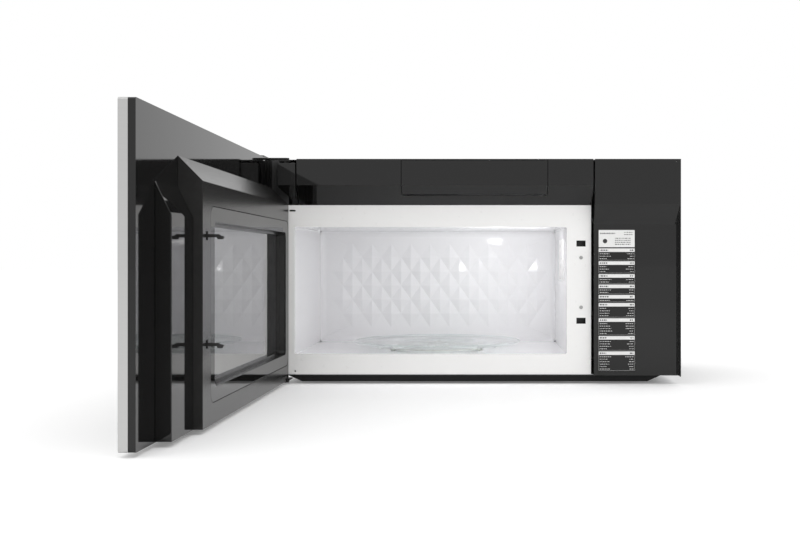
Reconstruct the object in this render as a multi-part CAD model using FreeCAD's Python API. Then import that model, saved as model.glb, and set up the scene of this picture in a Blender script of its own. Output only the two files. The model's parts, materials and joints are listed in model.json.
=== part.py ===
import FreeCAD, Part
import math
import os

os.makedirs("parts", exist_ok=True)
Vector = FreeCAD.Vector

# Over the range microwave, millimetres.
# +X is to the right as the cook faces it, +Y runs into the wall, +Z is up.
# Origin: centre of the face that lies on the wall, at the level of the casing floor.
# Depths written "f" are measured back from the front plane of the casing.
# The door stands open at rest, as it hangs when the oven is being loaded.

# ---------------------------------------------------------------- casing
BODY_WIDTH = 760.0
BODY_HEIGHT = 410.0
BODY_DEPTH = 400.0
SHEET = 0.9                  # painted steel of casing, floor and rear panel
MOULD = 2.5                  # wall of the moulded front pieces
SEAM = 3.0                   # gap between neighbouring front pieces
HALF = BODY_WIDTH / 2.0

# ---------------------------------------------------------------- front steps
CONTROL_WIDTH = 161.6        # control side panel, measured from the right side
SPLIT_X = HALF - CONTROL_WIDTH
RECESS = 32.5                # cavity front plate, behind the front plane
LABEL_RECESS = 20.5          # label field, behind the front plane
CREASE_Z = BODY_HEIGHT - 50.0    # vent grille bends back below this height
PLATE_TOP = BODY_HEIGHT - 85.8   # top edge of the cavity front plate
GRILLE_LOW = PLATE_TOP + 0.3
PLATE_BOTTOM = 1.4
SLANT_TOP = BODY_HEIGHT - 85.3   # control side panel slants back from here
SLANT_BOTTOM = SLANT_TOP - 37.4
LIP_SHEET = 1.4              # return lip along the panel's right edge
LABEL_LEFT = SPLIT_X + 5.6
LABEL_RIGHT = LABEL_LEFT + 75.5
LABEL_LOW = 6.0
LABEL_HIGH = SLANT_BOTTOM - 7.3
LABEL_FILM = 0.25
GRILLE_LEFT = -HALF + 37.0
HINGE_COVER_TOP = BODY_HEIGHT - 8.0
PLATE_SHEET = 1.0

# ---------------------------------------------------------------- cavity
MOUTH_LEFT = -HALF + 28.0    # opening in the front plate
MOUTH_RIGHT = SPLIT_X - 50.4
MOUTH_LOW = 40.1
MOUTH_HIGH = BODY_HEIGHT - 127.5
MOUTH_CORNER = 2.5
LIP_LEFT = 4.0               # cavity walls stand back from the mouth's edges
LIP_RIGHT = 3.0
LIP_LOW = 2.6
LIP_HIGH = 1.5
CAV_REAR_GAP = 11.5          # cavity's back wall to the wall face
CAV_SHEET = 0.8
CAV_CORNER = 4.0
WELL_DEPTH = 3.4             # round well that the roller ring runs in
WELL_RADIUS = 122.0
FIELD_LEFT = MOUTH_LEFT + 23.0   # raised field on the back wall
FIELD_RIGHT = MOUTH_RIGHT - 15.0
FIELD_LOW = MOUTH_LOW + 28.4
FIELD_HIGH = MOUTH_HIGH - 25.0
FIELD_STEP = 0.8
SCREW_RADIUS = 2.0
SCREW_HEAD = 3.4

# ---------------------------------------------------------------- turntable
CAV_BACK = BODY_DEPTH - CAV_REAR_GAP
CAV_FRONT = RECESS + PLATE_SHEET
TRAY_CLEAR = 5.0             # tray's rim to the cavity's front and back
TRAY_X = (MOUTH_LEFT + MOUTH_RIGHT) / 2.0 + 5.5
TRAY_F = (CAV_FRONT + CAV_BACK) / 2.0
TRAY_RADIUS = (CAV_BACK - CAV_FRONT) / 2.0 - TRAY_CLEAR
TRAY_GLASS = 4.6
TRAY_RIM = 7.4
ROLLER_RADIUS = 6.0
ROLLER_WIDTH = 7.0
ROLLER_CIRCLE = 102.0
ROLLER_COUNT = 3
RUN_GAP = 0.3                # between rolling and resting surfaces
FIT = 0.05                   # radial clearance of pins and shafts in their holes
AXLE_RADIUS = 1.5
COUPLER_RADIUS = 24.0
TT_MOTOR_RADIUS = 25.0
TT_MOTOR_HEIGHT = 16.0
SHAFT_RADIUS = 3.5

# ---------------------------------------------------------------- door
DOOR_OPEN = 90.64            # degrees the door stands open at rest
DOOR_GAP = 3.0               # door's inner face to the front plane
DOOR_TOP = BODY_HEIGHT
DOOR_BOTTOM = -10.5
SKIN_DEPTH = 12.0            # stainless pan
BACK_DEPTH = 9.2             # black back frame behind it
SKIN_SHEET = 0.8
HINGE_INSET = 12.0           # hinge axis from the casing's left side
HINGE_F = 25.4               # hinge axis behind the front plane
CHOKE_DEPTH = 33.5           # block that plugs the recess
CHOKE_START = 11.0           # from the door's hinge edge
CHOKE_CLEAR = 3.0            # block's free side to the control side panel
CHOKE_BOTTOM = -9.6
CHOKE_TOP_BACK = CREASE_Z - 2.1  # height at the door's inner face
CHOKE_TOP_FRONT = PLATE_TOP - 0.2
HOUSING_WIDTH = 94.6
HOUSING_DEPTH = 21.1
HOUSING_TOP_BACK = SLANT_TOP - 8.3
HOUSING_TOP_FRONT = SLANT_BOTTOM - 13.2
BEZEL_HINGE = 12.5           # ring round the window, from the door's hinge edge
BEZEL_MARGIN = 39.4          # ring to the block's free side
BEZEL_LOW = 19.5
BEZEL_HIGH = MOUTH_HIGH + 10.5
BEZEL_RADIUS = 16.0
RING_WIDTH = 22.0
RING_RADIUS = 9.0
REBATE = 2.4                 # the ring lies this deep in the block's face
WINDOW_WELL = 18.0           # block's face down to the inner glass
WINDOW_GLASS = 2.0
WINDOW_LEDGE = 10.0          # window's sight line inside the well
STEP_RISE = 6.0              # ledge inside the window's well
STEP_WIDTH = 5.0
SCREEN_SHEET = 0.6
FRONT_GLASS = 4.0
FRONT_MARGIN_X = 32.0
FRONT_LOW = 40.0
FRONT_HIGH = BODY_HEIGHT - 58.0
TOUCH_WIDTH = 128.0

# ---------------------------------------------------------------- hinges
ARM_SHEET = 3.0
ARM_HALF = 8.0
ARM_FOOT = 52.0              # along the door's edge, from the hinge axis
PIN_RADIUS = 3.5
BRACKET_SHEET = 2.5

# ---------------------------------------------------------------- latch
LATCH_X = SPLIT_X - 23.2     # hooks, when the door is shut
LATCH_HIGH = MOUTH_HIGH - 31.5
LATCH_LOW = 103.4
PLATE_SCREW_HIGH = LATCH_HIGH - 27.0
PLATE_SCREW_LOW = LATCH_LOW + 25.6
SLOT_WIDTH = 17.6
SLOT_HEIGHT = 11.5
HOOK_WIDTH = 5.0
HOOK_REACH = 24.0
LATCH_BAR = 3.0
LATCH_TRAVEL = 3.0
SPRING_RADIUS = 3.2
SPRING_WIRE = 0.6
SPRING_TURNS = 9
LATCH_SPRING_TOP = LATCH_HIGH + 30.0
LATCH_V = 8.0                # latch bar behind the door's inner face
HOOK_RISE = 2.0
HOOK_DROP = 5.0

# ---------------------------------------------------------------- vent side
FILTER_DOOR_LEFT = -145.6
FILTER_DOOR_RIGHT = 129.1
FILTER_DOOR_LOW = CREASE_Z - 16.2
FILTER_DOOR_HIGH = BODY_HEIGHT - 3.2
FILTER_DOOR_GAP = 1.1
FILTER_PIN = 1.6
FILTER_PIVOT_F = 17.2        # pins lie at the back of the flap's lower edge
FILTER_PIVOT_Z = FILTER_DOOR_LOW + 0.8
FILTER_BOSS = 2.6
FILTER_SWING_GAP = 2.3       # room below the flap for its edge to swing
EAR_REACH = 7.0              # ears and rails beside the filter door
EAR_FRONT = 13.0
EAR_MIDDLE = 18.5
EAR_BACK = FILTER_PIVOT_F + 6.0
RAIL_WIDTH = 13.0
CARBON_DEPTH = 108.0
CARBON_THICK = 13.0
WHEEL_RADIUS = 46.0
WHEEL_WIDTH = 62.0
BLADES = 24
SCROLL_RADIUS = 57.0
SCROLL_WIDTH = 78.0
SCROLL_SHEET = 1.2
SCROLL_GAP = 92.0            # between the two scrolls, where the motor sits
BLOWER_F = BODY_DEPTH - 114.0
BLOWER_MOTOR_RADIUS = 40.0
BLOWER_MOTOR_LENGTH = 84.0
DUCT_WIDTH = 254.0           # standard rectangular range duct
DUCT_DEPTH = 82.6
DUCT_RISE = 25.0
DUCT_REAR = 14.0             # duct edge to the wall face
DUCT_SHEET = 1.0
DAMPER_Z = 9.0
DAMPER_PIN = 1.5
DAMPER_SHEET = 0.8
PAN_DROP = 12.5
PAN_LEFT = -HALF + 42.0
PAN_RIGHT = HALF - 58.0
PAN_FLARE = 28.0
PAN_SHEET = 1.0
GREASE_WIDTH = 180.0
GREASE_DEPTH = 118.0
GREASE_THICK = 2.6
GREASE_LEFT_X = PAN_LEFT + 98.0  # filter centres
GREASE_RIGHT_X = PAN_RIGHT - 96.0
GREASE_F = BODY_DEPTH - 130.0
GREASE_LAP = 6.0             # filters rest on the pan's rim by this much
FRAME_CLEAR = 0.8            # lens edges to the pan's openings
LAMP_X = 215.0
LAMP_CENTRE_X = (PAN_LEFT + PAN_RIGHT) / 2.0
LAMP_F = 86.0
LENS_WIDTH = 84.0
LENS_DEPTH = 46.0
LENS_THICK = 2.4
LAMP_CUP_HEIGHT = 11.0

# ---------------------------------------------------------------- wall side
WALL_PLATE = 1.5
WALL_PLATE_WIDTH = BODY_WIDTH - 70.0
WALL_PLATE_TOP = 210.0
WALL_PLATE_BOTTOM = -8.0
WALL_BOLT_X = WALL_PLATE_WIDTH - 80.4
WALL_BOLT_Z = 152.4
WALL_BOLT_LOW = 30.0
WALL_BOLT_RADIUS = 3.6
CABINET_BOLT_X = 508.0
CABINET_BOLT_F = 120.0
CABINET_BOLT_RADIUS = 3.4
NUT_RADIUS = 8.0
NUT_HEIGHT = 8.0
CORD_X = HALF - 50.0         # cord's hole in the rear panel
CORD_Z = BODY_HEIGHT - 38.0
CORD_HOLE = 11.0
CORD_BORE = 4.2

# ---------------------------------------------------------------- works beside the cavity
GUIDE_DEPTH = 32.0           # waveguide
PORT_F = 206.0               # its port into the cavity
PORT_DROP = 64.0             # port's centre below the cavity's ceiling
PORT_HALF = 36.0
PORT_TALL = 30.0
MAG_F = BODY_DEPTH - 114.0   # magnetron
MAG_DEPTH = 76.0
MAG_HALF_F = 46.0
MAG_HALF_Z = 40.0
ANODE_RADIUS = 20.0
MAGNET_RADIUS = 27.0
ANTENNA_RADIUS = 9.0
GUIDE_END = MAG_F + 44.0
CORE_X = HALF - 84.0         # transformer
CORE_F = 166.0
CORE_HALF_X = 45.0
CORE_HALF_F = 34.0
CORE_HEIGHT = 76.0
CORE_LEG = 13.0              # half of the middle leg
CORE_YOKE = 16.0
COIL_GAP = 0.3               # winding to the core
CAPACITOR_X = HALF - 98.0
CAPACITOR_F = 60.0
CAPACITOR_WIDTH = 30.0
CAPACITOR_DEPTH = 52.0
CAPACITOR_HEIGHT = 92.0
FAN_X = HALF - 80.0          # cooling fan
FAN_F = BODY_DEPTH - 42.0
FAN_Z = 66.0
FAN_RADIUS = 52.0
FAN_BLADES = 5
REAR_SLOTS = 14
REAR_SLOT_PITCH = 8.0
POWER_BOARD_X = HALF - 144.0
POWER_BOARD_F = 60.0
POWER_BOARD_Z = BODY_HEIGHT - 148.0
POWER_BOARD_SIZE = 130.0
BOARD_SHEET = 2.0

# ---------------------------------------------------------------- derived
BACK_F = BODY_DEPTH - WALL_PLATE           # rear of the casing
REAR_F = BACK_F - SHEET                    # front of the rear panel
ROOF = BODY_HEIGHT - SHEET                 # under the casing's roof
CAV_LEFT = MOUTH_LEFT - LIP_LEFT
CAV_RIGHT = MOUTH_RIGHT + LIP_RIGHT
CAV_FLOOR = MOUTH_LOW - LIP_LOW
CAV_TOP = MOUTH_HIGH + LIP_HIGH
FRONT_BAND = 20.5                          # moulded pieces reach this far back
HINGE_X = -HALF + HINGE_INSET
ARM_TOP_Z = BODY_HEIGHT + 0.4
LOWER_TONGUE_Z = -9.0
WELL_Z = CAV_FLOOR - WELL_DEPTH
AXLE_Z = WELL_Z + RUN_GAP + ROLLER_RADIUS
TRAY_Z = AXLE_Z + ROLLER_RADIUS + RUN_GAP
CHOKE_END = SPLIT_X - CHOKE_CLEAR + HALF   # free side, from the hinge edge
HOUSING_END = CHOKE_END + HOUSING_WIDTH
BEZEL_FREE = CHOKE_END - BEZEL_MARGIN
WELL_LEFT = BEZEL_HINGE + RING_WIDTH
WELL_RIGHT = BEZEL_FREE - RING_WIDTH
WELL_LOW = BEZEL_LOW + RING_WIDTH
WELL_HIGH = BEZEL_HIGH - RING_WIDTH
WINDOW_LEFT = WELL_LEFT + WINDOW_LEDGE
WINDOW_RIGHT = WELL_RIGHT - WINDOW_LEDGE
WINDOW_LOW = WELL_LOW + WINDOW_LEDGE
WINDOW_HIGH = WELL_HIGH - WINDOW_LEDGE
LATCH_U = LATCH_X + HALF                   # latch, from the hinge edge
SKIN_FRONT = -SKIN_DEPTH - BACK_DEPTH
GLASS_LEFT = FRONT_MARGIN_X
GLASS_RIGHT = BODY_WIDTH - FRONT_MARGIN_X
TOUCH_LEFT = GLASS_RIGHT - TOUCH_WIDTH
PORT_Z = CAV_TOP - PORT_DROP
BLOWER_Z = CAV_TOP + CAV_SHEET + SCROLL_RADIUS + 3.0
DUCT_BACK = BODY_DEPTH - DUCT_REAR
DUCT_FRONT = DUCT_BACK - DUCT_DEPTH
DAMPER_F = DUCT_FRONT + 6.5
PAN_F = RECESS + 1.5                       # the pan and floor start behind the plate
LAMP_LEFT_X = LAMP_CENTRE_X - LAMP_X
LAMP_RIGHT_X = LAMP_CENTRE_X + LAMP_X


# ================================================================ helpers
def block(x0, x1, f0, f1, z0, z1):
    """Box between two x, two depths and two heights."""
    corner = Vector(x0, f0 - BODY_DEPTH, z0)
    return Part.makeBox(x1 - x0, f1 - f0, z1 - z0, corner)


def rod_x(radius, x0, x1, f, z):
    return Part.makeCylinder(radius, x1 - x0, Vector(x0, f - BODY_DEPTH, z), Vector(1, 0, 0))


def rod_f(radius, f0, f1, x, z):
    return Part.makeCylinder(radius, f1 - f0, Vector(x, f0 - BODY_DEPTH, z), Vector(0, 1, 0))


def rod_z(radius, z0, z1, x, f):
    return Part.makeCylinder(radius, z1 - z0, Vector(x, f - BODY_DEPTH, z0), Vector(0, 0, 1))


def face_of(points):
    wire = Part.makePolygon(points + [points[0]])
    return Part.Face(wire)


def prism_x(outline, x0, x1):
    """Outline of (f, z) points, run from x0 to x1."""
    points = [Vector(x0, f - BODY_DEPTH, z) for f, z in outline]
    return face_of(points).extrude(Vector(x1 - x0, 0, 0))


def prism_f(outline, f0, f1):
    """Outline of (x, z) points, run from depth f0 to f1."""
    points = [Vector(x, f0 - BODY_DEPTH, z) for x, z in outline]
    return face_of(points).extrude(Vector(0, f1 - f0, 0))


def prism_z(outline, z0, z1):
    """Outline of (x, f) points, run from height z0 to z1."""
    points = [Vector(x, f - BODY_DEPTH, z0) for x, f in outline]
    return face_of(points).extrude(Vector(0, 0, z1 - z0))


def edges_along(shape, axis):
    """Straight edges parallel to an axis vector."""
    chosen = []
    for edge in shape.Edges:
        if len(edge.Vertexes) != 2:
            continue
        run = edge.Vertexes[1].Point.sub(edge.Vertexes[0].Point)
        if run.Length > 0 and abs(abs(run.dot(axis)) - run.Length) < 1e-6:
            chosen.append(edge)
    return chosen


def rounded(shape, radius, axis):
    """Round every edge of a box that runs along an axis."""
    return shape.makeFillet(radius, edges_along(shape, axis))


X_AXIS = Vector(1, 0, 0)
Y_AXIS = Vector(0, 1, 0)
Z_AXIS = Vector(0, 0, 1)


def cut_all(shape, tools):
    for tool in tools:
        shape = shape.cut(tool)
    return shape


def fuse_all(shapes):
    joined = shapes[0]
    for shape in shapes[1:]:
        joined = joined.fuse(shape)
    return joined.removeSplitter()


def save(name, shapes):
    """Write one node; several solids stay separate in it."""
    if not isinstance(shapes, list):
        shapes = [shapes]
    solids = [solid for shape in shapes for solid in shape.Solids]
    whole = solids[0] if len(solids) == 1 else Part.makeCompound(solids)
    whole.exportStep("parts/" + name + ".step")
    if not whole.isValid():
        print("not valid:", name)


# ================================================================ casing
def exhaust_hole(grow, z0, z1):
    half = DUCT_WIDTH / 2.0 + grow
    return block(-half, half, DUCT_FRONT - grow, DUCT_BACK + grow, z0, z1)


def cabinet_bolt_tools(radius, z0, z1):
    half = CABINET_BOLT_X / 2.0
    return [rod_z(radius, z0, z1, side * half, CABINET_BOLT_F) for side in (-1, 1)]


def make_casing():
    left_low = block(-HALF, -HALF + SHEET, CAV_FRONT, BACK_F, 0, BODY_HEIGHT)
    left_high = block(-HALF, -HALF + SHEET, FRONT_BAND, BACK_F, CREASE_Z, BODY_HEIGHT)
    right = block(HALF - SHEET, HALF, FRONT_BAND, BACK_F, 0, BODY_HEIGHT)
    roof = block(-HALF, HALF, FRONT_BAND, BACK_F, ROOF, BODY_HEIGHT)
    wrap = fuse_all([left_low, left_high, right, roof])
    tools = [exhaust_hole(0, ROOF - 1, BODY_HEIGHT + 1)]
    tools += cabinet_bolt_tools(CABINET_BOLT_RADIUS, ROOF - 1, BODY_HEIGHT + 1)
    tools.append(rod_z(PIN_RADIUS + 1.0, ROOF - 1, BODY_HEIGHT + 1, HINGE_X, HINGE_F))
    save("outer_wrap", cut_all(wrap, tools))


def make_rear():
    panel = block(-HALF + SHEET, HALF - SHEET, REAR_F, BACK_F, 0, ROOF)
    cord_hole = rod_f(CORD_HOLE, REAR_F - 1, BACK_F + 1, CORD_X, CORD_Z)
    slots = []
    slots_start = FAN_X - (REAR_SLOTS + 2) * REAR_SLOT_PITCH / 2.0
    for index in range(REAR_SLOTS):
        x = slots_start + REAR_SLOT_PITCH * index
        slots.append(block(x, x + REAR_SLOT_PITCH / 2.0, REAR_F - 1, BACK_F + 1, FAN_Z - 6.0, FAN_Z + 44.0))
    save("rear_panel", cut_all(panel, [cord_hole] + slots))
    flange = CORD_HOLE + 2.5
    grommet = rod_f(flange, BACK_F, BACK_F + 1.2, CORD_X, CORD_Z)
    grommet = grommet.fuse(rod_f(CORD_HOLE - RUN_GAP, REAR_F - 9.0, BACK_F, CORD_X, CORD_Z))
    grommet = grommet.fuse(rod_f(flange, REAR_F - 3.0, REAR_F, CORD_X, CORD_Z))
    grommet = grommet.cut(rod_f(CORD_BORE, REAR_F - 12.0, BACK_F + 4.0, CORD_X, CORD_Z))
    save("cord_grommet", grommet.removeSplitter())


def make_wall_plate():
    half = WALL_PLATE_WIDTH / 2.0
    plate = block(-half, half, BACK_F, BODY_DEPTH, WALL_PLATE_BOTTOM, WALL_PLATE_TOP)
    plate = rounded(plate, 8.0, Y_AXIS)
    holes = []
    for side in (-1, 1):
        for z in (WALL_BOLT_LOW, WALL_BOLT_LOW + WALL_BOLT_Z):
            x = side * WALL_BOLT_X / 2.0
            holes.append(rod_f(WALL_BOLT_RADIUS, BACK_F - 1, BODY_DEPTH + 1, x, z))
    for index in range(9):
        x = -200.0 + 50.0 * index
        slot = block(x - 3.0, x + 3.0, BACK_F - 1, BODY_DEPTH + 1, 80.0, 140.0)
        holes.append(rounded(slot, 2.9, Y_AXIS))
    plate = cut_all(plate, holes)
    save("wall_mounting_plate", plate)


def make_floor():
    floor = block(-HALF + SHEET, HALF - SHEET, PAN_F, REAR_F, 0, SHEET)
    tools = []
    for x in (GREASE_LEFT_X, GREASE_RIGHT_X):
        tools.append(grease_hole(x, -8.0, -1.0, SHEET + 1.0))
    for x in (LAMP_LEFT_X, LAMP_RIGHT_X):
        tools.append(lens_hole(x, -6.0, -1.0, SHEET + 1.0))
    save("base_plate", cut_all(floor, tools))


def grease_hole(x, grow, z0, z1):
    half_x = GREASE_WIDTH / 2.0 + grow
    half_f = GREASE_DEPTH / 2.0 + grow
    return block(x - half_x, x + half_x, GREASE_F - half_f, GREASE_F + half_f, z0, z1)


def lens_hole(x, grow, z0, z1):
    half_x = LENS_WIDTH / 2.0 + grow
    half_f = LENS_DEPTH / 2.0 + grow
    return block(x - half_x, x + half_x, LAMP_F - half_f, LAMP_F + half_f, z0, z1)


def make_pan():
    low = -PAN_DROP
    outer = [(PAN_LEFT, low), (PAN_RIGHT, low), (PAN_RIGHT + PAN_FLARE, 0), (PAN_LEFT - PAN_FLARE, 0)]
    inset = PAN_SHEET * 1.2
    inner = [(PAN_LEFT + inset * 0.2, low + PAN_SHEET), (PAN_RIGHT - inset * 0.2, low + PAN_SHEET),
             (PAN_RIGHT + PAN_FLARE - inset, 0.5), (PAN_LEFT - PAN_FLARE + inset, 0.5)]
    shell = prism_f(outer, PAN_F, REAR_F).cut(prism_f(inner, PAN_F + PAN_SHEET, REAR_F - PAN_SHEET))
    tools = []
    for x in (GREASE_LEFT_X, GREASE_RIGHT_X):
        tools.append(grease_hole(x, -GREASE_LAP, low - 1.0, low + PAN_SHEET + 1.0))
    for x in (LAMP_LEFT_X, LAMP_RIGHT_X):
        tools.append(lens_hole(x, FRAME_CLEAR, low - 1.0, low + PAN_SHEET + 1.0))
    save("bottom_pan", cut_all(shell, tools))


# ================================================================ cavity
def make_cavity():
    front0 = RECESS
    front1 = CAV_FRONT
    plate = block(-HALF, SPLIT_X - SEAM - 1.0, front0, front1, PLATE_BOTTOM, PLATE_TOP)
    mouth = block(MOUTH_LEFT, MOUTH_RIGHT, front0 - 1, front1 + 1, MOUTH_LOW, MOUTH_HIGH)
    tools = [rounded(mouth, MOUTH_CORNER, Y_AXIS)]
    for z in (LATCH_HIGH, LATCH_LOW):
        half = SLOT_WIDTH / 2.0
        tall = SLOT_HEIGHT / 2.0
        tools.append(block(LATCH_X - half, LATCH_X + half, front0 - 1, front1 + 1, z - tall, z + tall))
    tools.append(block(-HALF + 18.0, -HALF + 29.5, front0 - 1, front1 + 1, PLATE_TOP - 12.0, PLATE_TOP - 8.8))
    tools.append(rod_f(1.6, front0 - 1, front1 + 1, -HALF + 29.0, PLATE_BOTTOM + 5.6))
    for z in (PLATE_SCREW_HIGH, PLATE_SCREW_LOW):
        tools.append(rod_f(SCREW_RADIUS, front0 - 1, front1 + 1, LATCH_X, z))
    save("cavity_front_plate", cut_all(plate, tools))

    wall = CAV_SHEET
    under = CAV_FLOOR - 60.0
    outer = block(CAV_LEFT - wall, CAV_RIGHT + wall, front1, CAV_BACK, under, CAV_TOP + wall)
    inner = block(CAV_LEFT, CAV_RIGHT, front1 - 1, CAV_BACK + 1, under - 1, CAV_TOP)
    below = block(CAV_LEFT - 5, CAV_RIGHT + 5, front1 - 1, CAV_BACK + 1, under - 2, CAV_FLOOR)
    wrap = rounded(outer, CAV_CORNER + wall, Y_AXIS).cut(rounded(inner, CAV_CORNER, Y_AXIS)).cut(below)
    port = block(CAV_RIGHT - 1, CAV_RIGHT + wall + 1, PORT_F - PORT_HALF, PORT_F + PORT_HALF,
                 PORT_Z - PORT_TALL, PORT_Z + PORT_TALL)
    save("cavity_wrap", wrap.cut(port))

    back = block(CAV_LEFT - wall, CAV_RIGHT + wall, CAV_BACK, CAV_BACK + wall,
                 CAV_FLOOR - wall, CAV_TOP + wall)
    field = block(FIELD_LEFT, FIELD_RIGHT, CAV_BACK - FIELD_STEP, CAV_BACK, FIELD_LOW, FIELD_HIGH)
    save("cavity_back_wall", back.fuse(field).removeSplitter())

    floor = block(CAV_LEFT - wall, CAV_RIGHT + wall, front1, CAV_BACK, CAV_FLOOR - wall, CAV_FLOOR)
    well = rod_z(WELL_RADIUS + wall, WELL_Z - wall, CAV_FLOOR - wall, TRAY_X, TRAY_F)
    floor = floor.fuse(well)
    floor = floor.cut(rod_z(WELL_RADIUS, WELL_Z, CAV_FLOOR + 1, TRAY_X, TRAY_F))
    floor = floor.cut(rod_z(SHAFT_RADIUS + 1.5, WELL_Z - 3, CAV_FLOOR, TRAY_X, TRAY_F))
    save("cavity_floor", floor.removeSplitter())


def make_plate_screws():
    screws = []
    for z in (PLATE_SCREW_HIGH, PLATE_SCREW_LOW):
        head = rod_f(SCREW_HEAD, RECESS - 1.3, RECESS, LATCH_X, z)
        head = head.cut(block(LATCH_X - 2.2, LATCH_X + 2.2, RECESS - 2, RECESS - 0.6, z - 0.5, z + 0.5))
        head = head.cut(block(LATCH_X - 0.5, LATCH_X + 0.5, RECESS - 2, RECESS - 0.6, z - 2.2, z + 2.2))
        shank = rod_f(SCREW_RADIUS - FIT, RECESS, RECESS + 9.0, LATCH_X, z)
        screws.append(head.fuse(shank).removeSplitter())
    save("plate_screws", screws)


def make_waveguide():
    cover = block(CAV_RIGHT - 0.6, CAV_RIGHT, PORT_F - PORT_HALF - 14, PORT_F + PORT_HALF + 14,
                  PORT_Z - PORT_TALL - 12, PORT_Z + PORT_TALL + 12)
    save("waveguide_cover", rounded(cover, 5.0, X_AXIS))
    x0 = CAV_RIGHT + CAV_SHEET
    tube = block(x0, x0 + GUIDE_DEPTH, PORT_F - PORT_HALF - 8, GUIDE_END, PORT_Z - 42, PORT_Z + 42)
    bore = block(x0 - 1, x0 + GUIDE_DEPTH - SHEET, PORT_F - PORT_HALF, GUIDE_END - SHEET,
                 PORT_Z - 40, PORT_Z + 40)
    antenna = rod_x(ANTENNA_RADIUS + 1.0, x0 + GUIDE_DEPTH - 3, x0 + GUIDE_DEPTH + 1, MAG_F, PORT_Z)
    save("waveguide", tube.cut(bore).cut(antenna))


def make_magnetron():
    x0 = CAV_RIGHT + CAV_SHEET + GUIDE_DEPTH
    x1 = x0 + MAG_DEPTH
    half_f = MAG_HALF_F
    half_z = MAG_HALF_Z
    yoke = block(x0, x1, MAG_F - half_f, MAG_F + half_f, PORT_Z - half_z, PORT_Z + half_z)
    hollow = block(x0 + 1.6, x1 - 1.6, MAG_F - half_f - 1, MAG_F + half_f + 1,
                   PORT_Z - half_z + 1.6, PORT_Z + half_z - 1.6)
    bore = rod_x(ANTENNA_RADIUS + 0.3, x0 - 1, x0 + 3, MAG_F, PORT_Z)
    yoke = yoke.cut(hollow).cut(bore)
    anode = rod_x(ANODE_RADIUS, x0 + 14, x1 - 14, MAG_F, PORT_Z)
    tip = rod_x(ANTENNA_RADIUS, x0 - 22, x0 + 14, MAG_F, PORT_Z)
    tail = rod_x(ANTENNA_RADIUS, x1 - 14, x1 - 1.6, MAG_F, PORT_Z)
    core = fuse_all([anode, tip, tail])
    for index in range(6):
        x = x0 + 18 + index * 8.0
        fin = block(x, x + 0.8, MAG_F - 38, MAG_F + 38, PORT_Z - half_z + 1.6, PORT_Z + half_z - 1.6)
        core = core.fuse(fin)
    magnets = []
    for start in (x0 + 1.6, x1 - 13.6):
        ring = rod_x(MAGNET_RADIUS, start, start + 12.0, MAG_F, PORT_Z)
        magnets.append(ring)
    box = block(x1, x1 + 26.0, MAG_F - 24, MAG_F + 24, PORT_Z - 22, PORT_Z + 22)
    box = rounded(box, 3.0, X_AXIS)
    tabs = []
    for f in (MAG_F - 8.0, MAG_F + 8.0):
        tabs.append(block(x1 + 26.0, x1 + 34.0, f - 3, f + 3, PORT_Z - 0.4, PORT_Z + 0.4))
    save("magnetron", fuse_all([yoke, core, box] + magnets + tabs))


def make_transformer():
    top = SHEET + CORE_HEIGHT
    core = block(CORE_X - CORE_HALF_X, CORE_X + CORE_HALF_X, CORE_F - CORE_HALF_F, CORE_F + CORE_HALF_F,
                 SHEET, top)
    window_low = SHEET + CORE_YOKE
    window_high = top - CORE_YOKE
    window_end = CORE_X + CORE_HALF_X - CORE_LEG - 1.0
    for side in (-1, 1):
        x = CORE_X + side * (CORE_LEG + window_end - CORE_X) / 2.0
        half = (window_end - CORE_X - CORE_LEG) / 2.0
        core = core.cut(block(x - half, x + half, CORE_F - CORE_HALF_F - 1, CORE_F + CORE_HALF_F + 1,
                              window_low, window_high))
    foot = block(CORE_X - CORE_HALF_X - 11, CORE_X + CORE_HALF_X + 11, CORE_F - CORE_HALF_F,
                 CORE_F + CORE_HALF_F, SHEET, SHEET + 3)
    save("transformer_core", core.fuse(foot).removeSplitter())

    reach = window_end - CORE_X - COIL_GAP
    outer = block(CORE_X - reach + 0.1, CORE_X + reach - 0.1, CORE_F - CORE_HALF_F - 12.0,
                  CORE_F + CORE_HALF_F + 12.0, SHEET, top)
    inner = block(CORE_X - CORE_LEG - COIL_GAP, CORE_X + CORE_LEG + COIL_GAP, CORE_F - CORE_HALF_F - 0.4,
                  CORE_F + CORE_HALF_F + 0.4, SHEET - 1, top + 1)
    ring = outer.cut(inner)
    middle = SHEET + CORE_HEIGHT / 2.0 - 2.0
    coils = []
    for low, high in ((window_low + COIL_GAP, middle), (middle + 2.0, window_high - COIL_GAP)):
        level = block(CORE_X - 60, CORE_X + 60, CORE_F - 60, CORE_F + 60, low, high)
        coils.append(ring.common(level))
    save("transformer_coils", coils)


def make_capacitor():
    x0 = CAPACITOR_X
    x1 = CAPACITOR_X + CAPACITOR_WIDTH
    middle = (x0 + x1) / 2.0
    f0 = CAPACITOR_F
    top = SHEET + CAPACITOR_HEIGHT
    can = rounded(block(x0, x1, f0, f0 + CAPACITOR_DEPTH, SHEET, top), CAPACITOR_WIDTH / 2.0 - 1.0, Z_AXIS)
    tabs = []
    for f in (f0 + 14.0, f0 + 37.0):
        tabs.append(block(middle - 3.0, middle + 3.0, f, f + 0.8, top, top + 9.0))
    foot = block(middle - 7.0, middle + 7.0, f0 - 10.0, f0 + 2.0, SHEET, SHEET + 2.0)
    save("high_voltage_capacitor", fuse_all([can, foot] + tabs))


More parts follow.
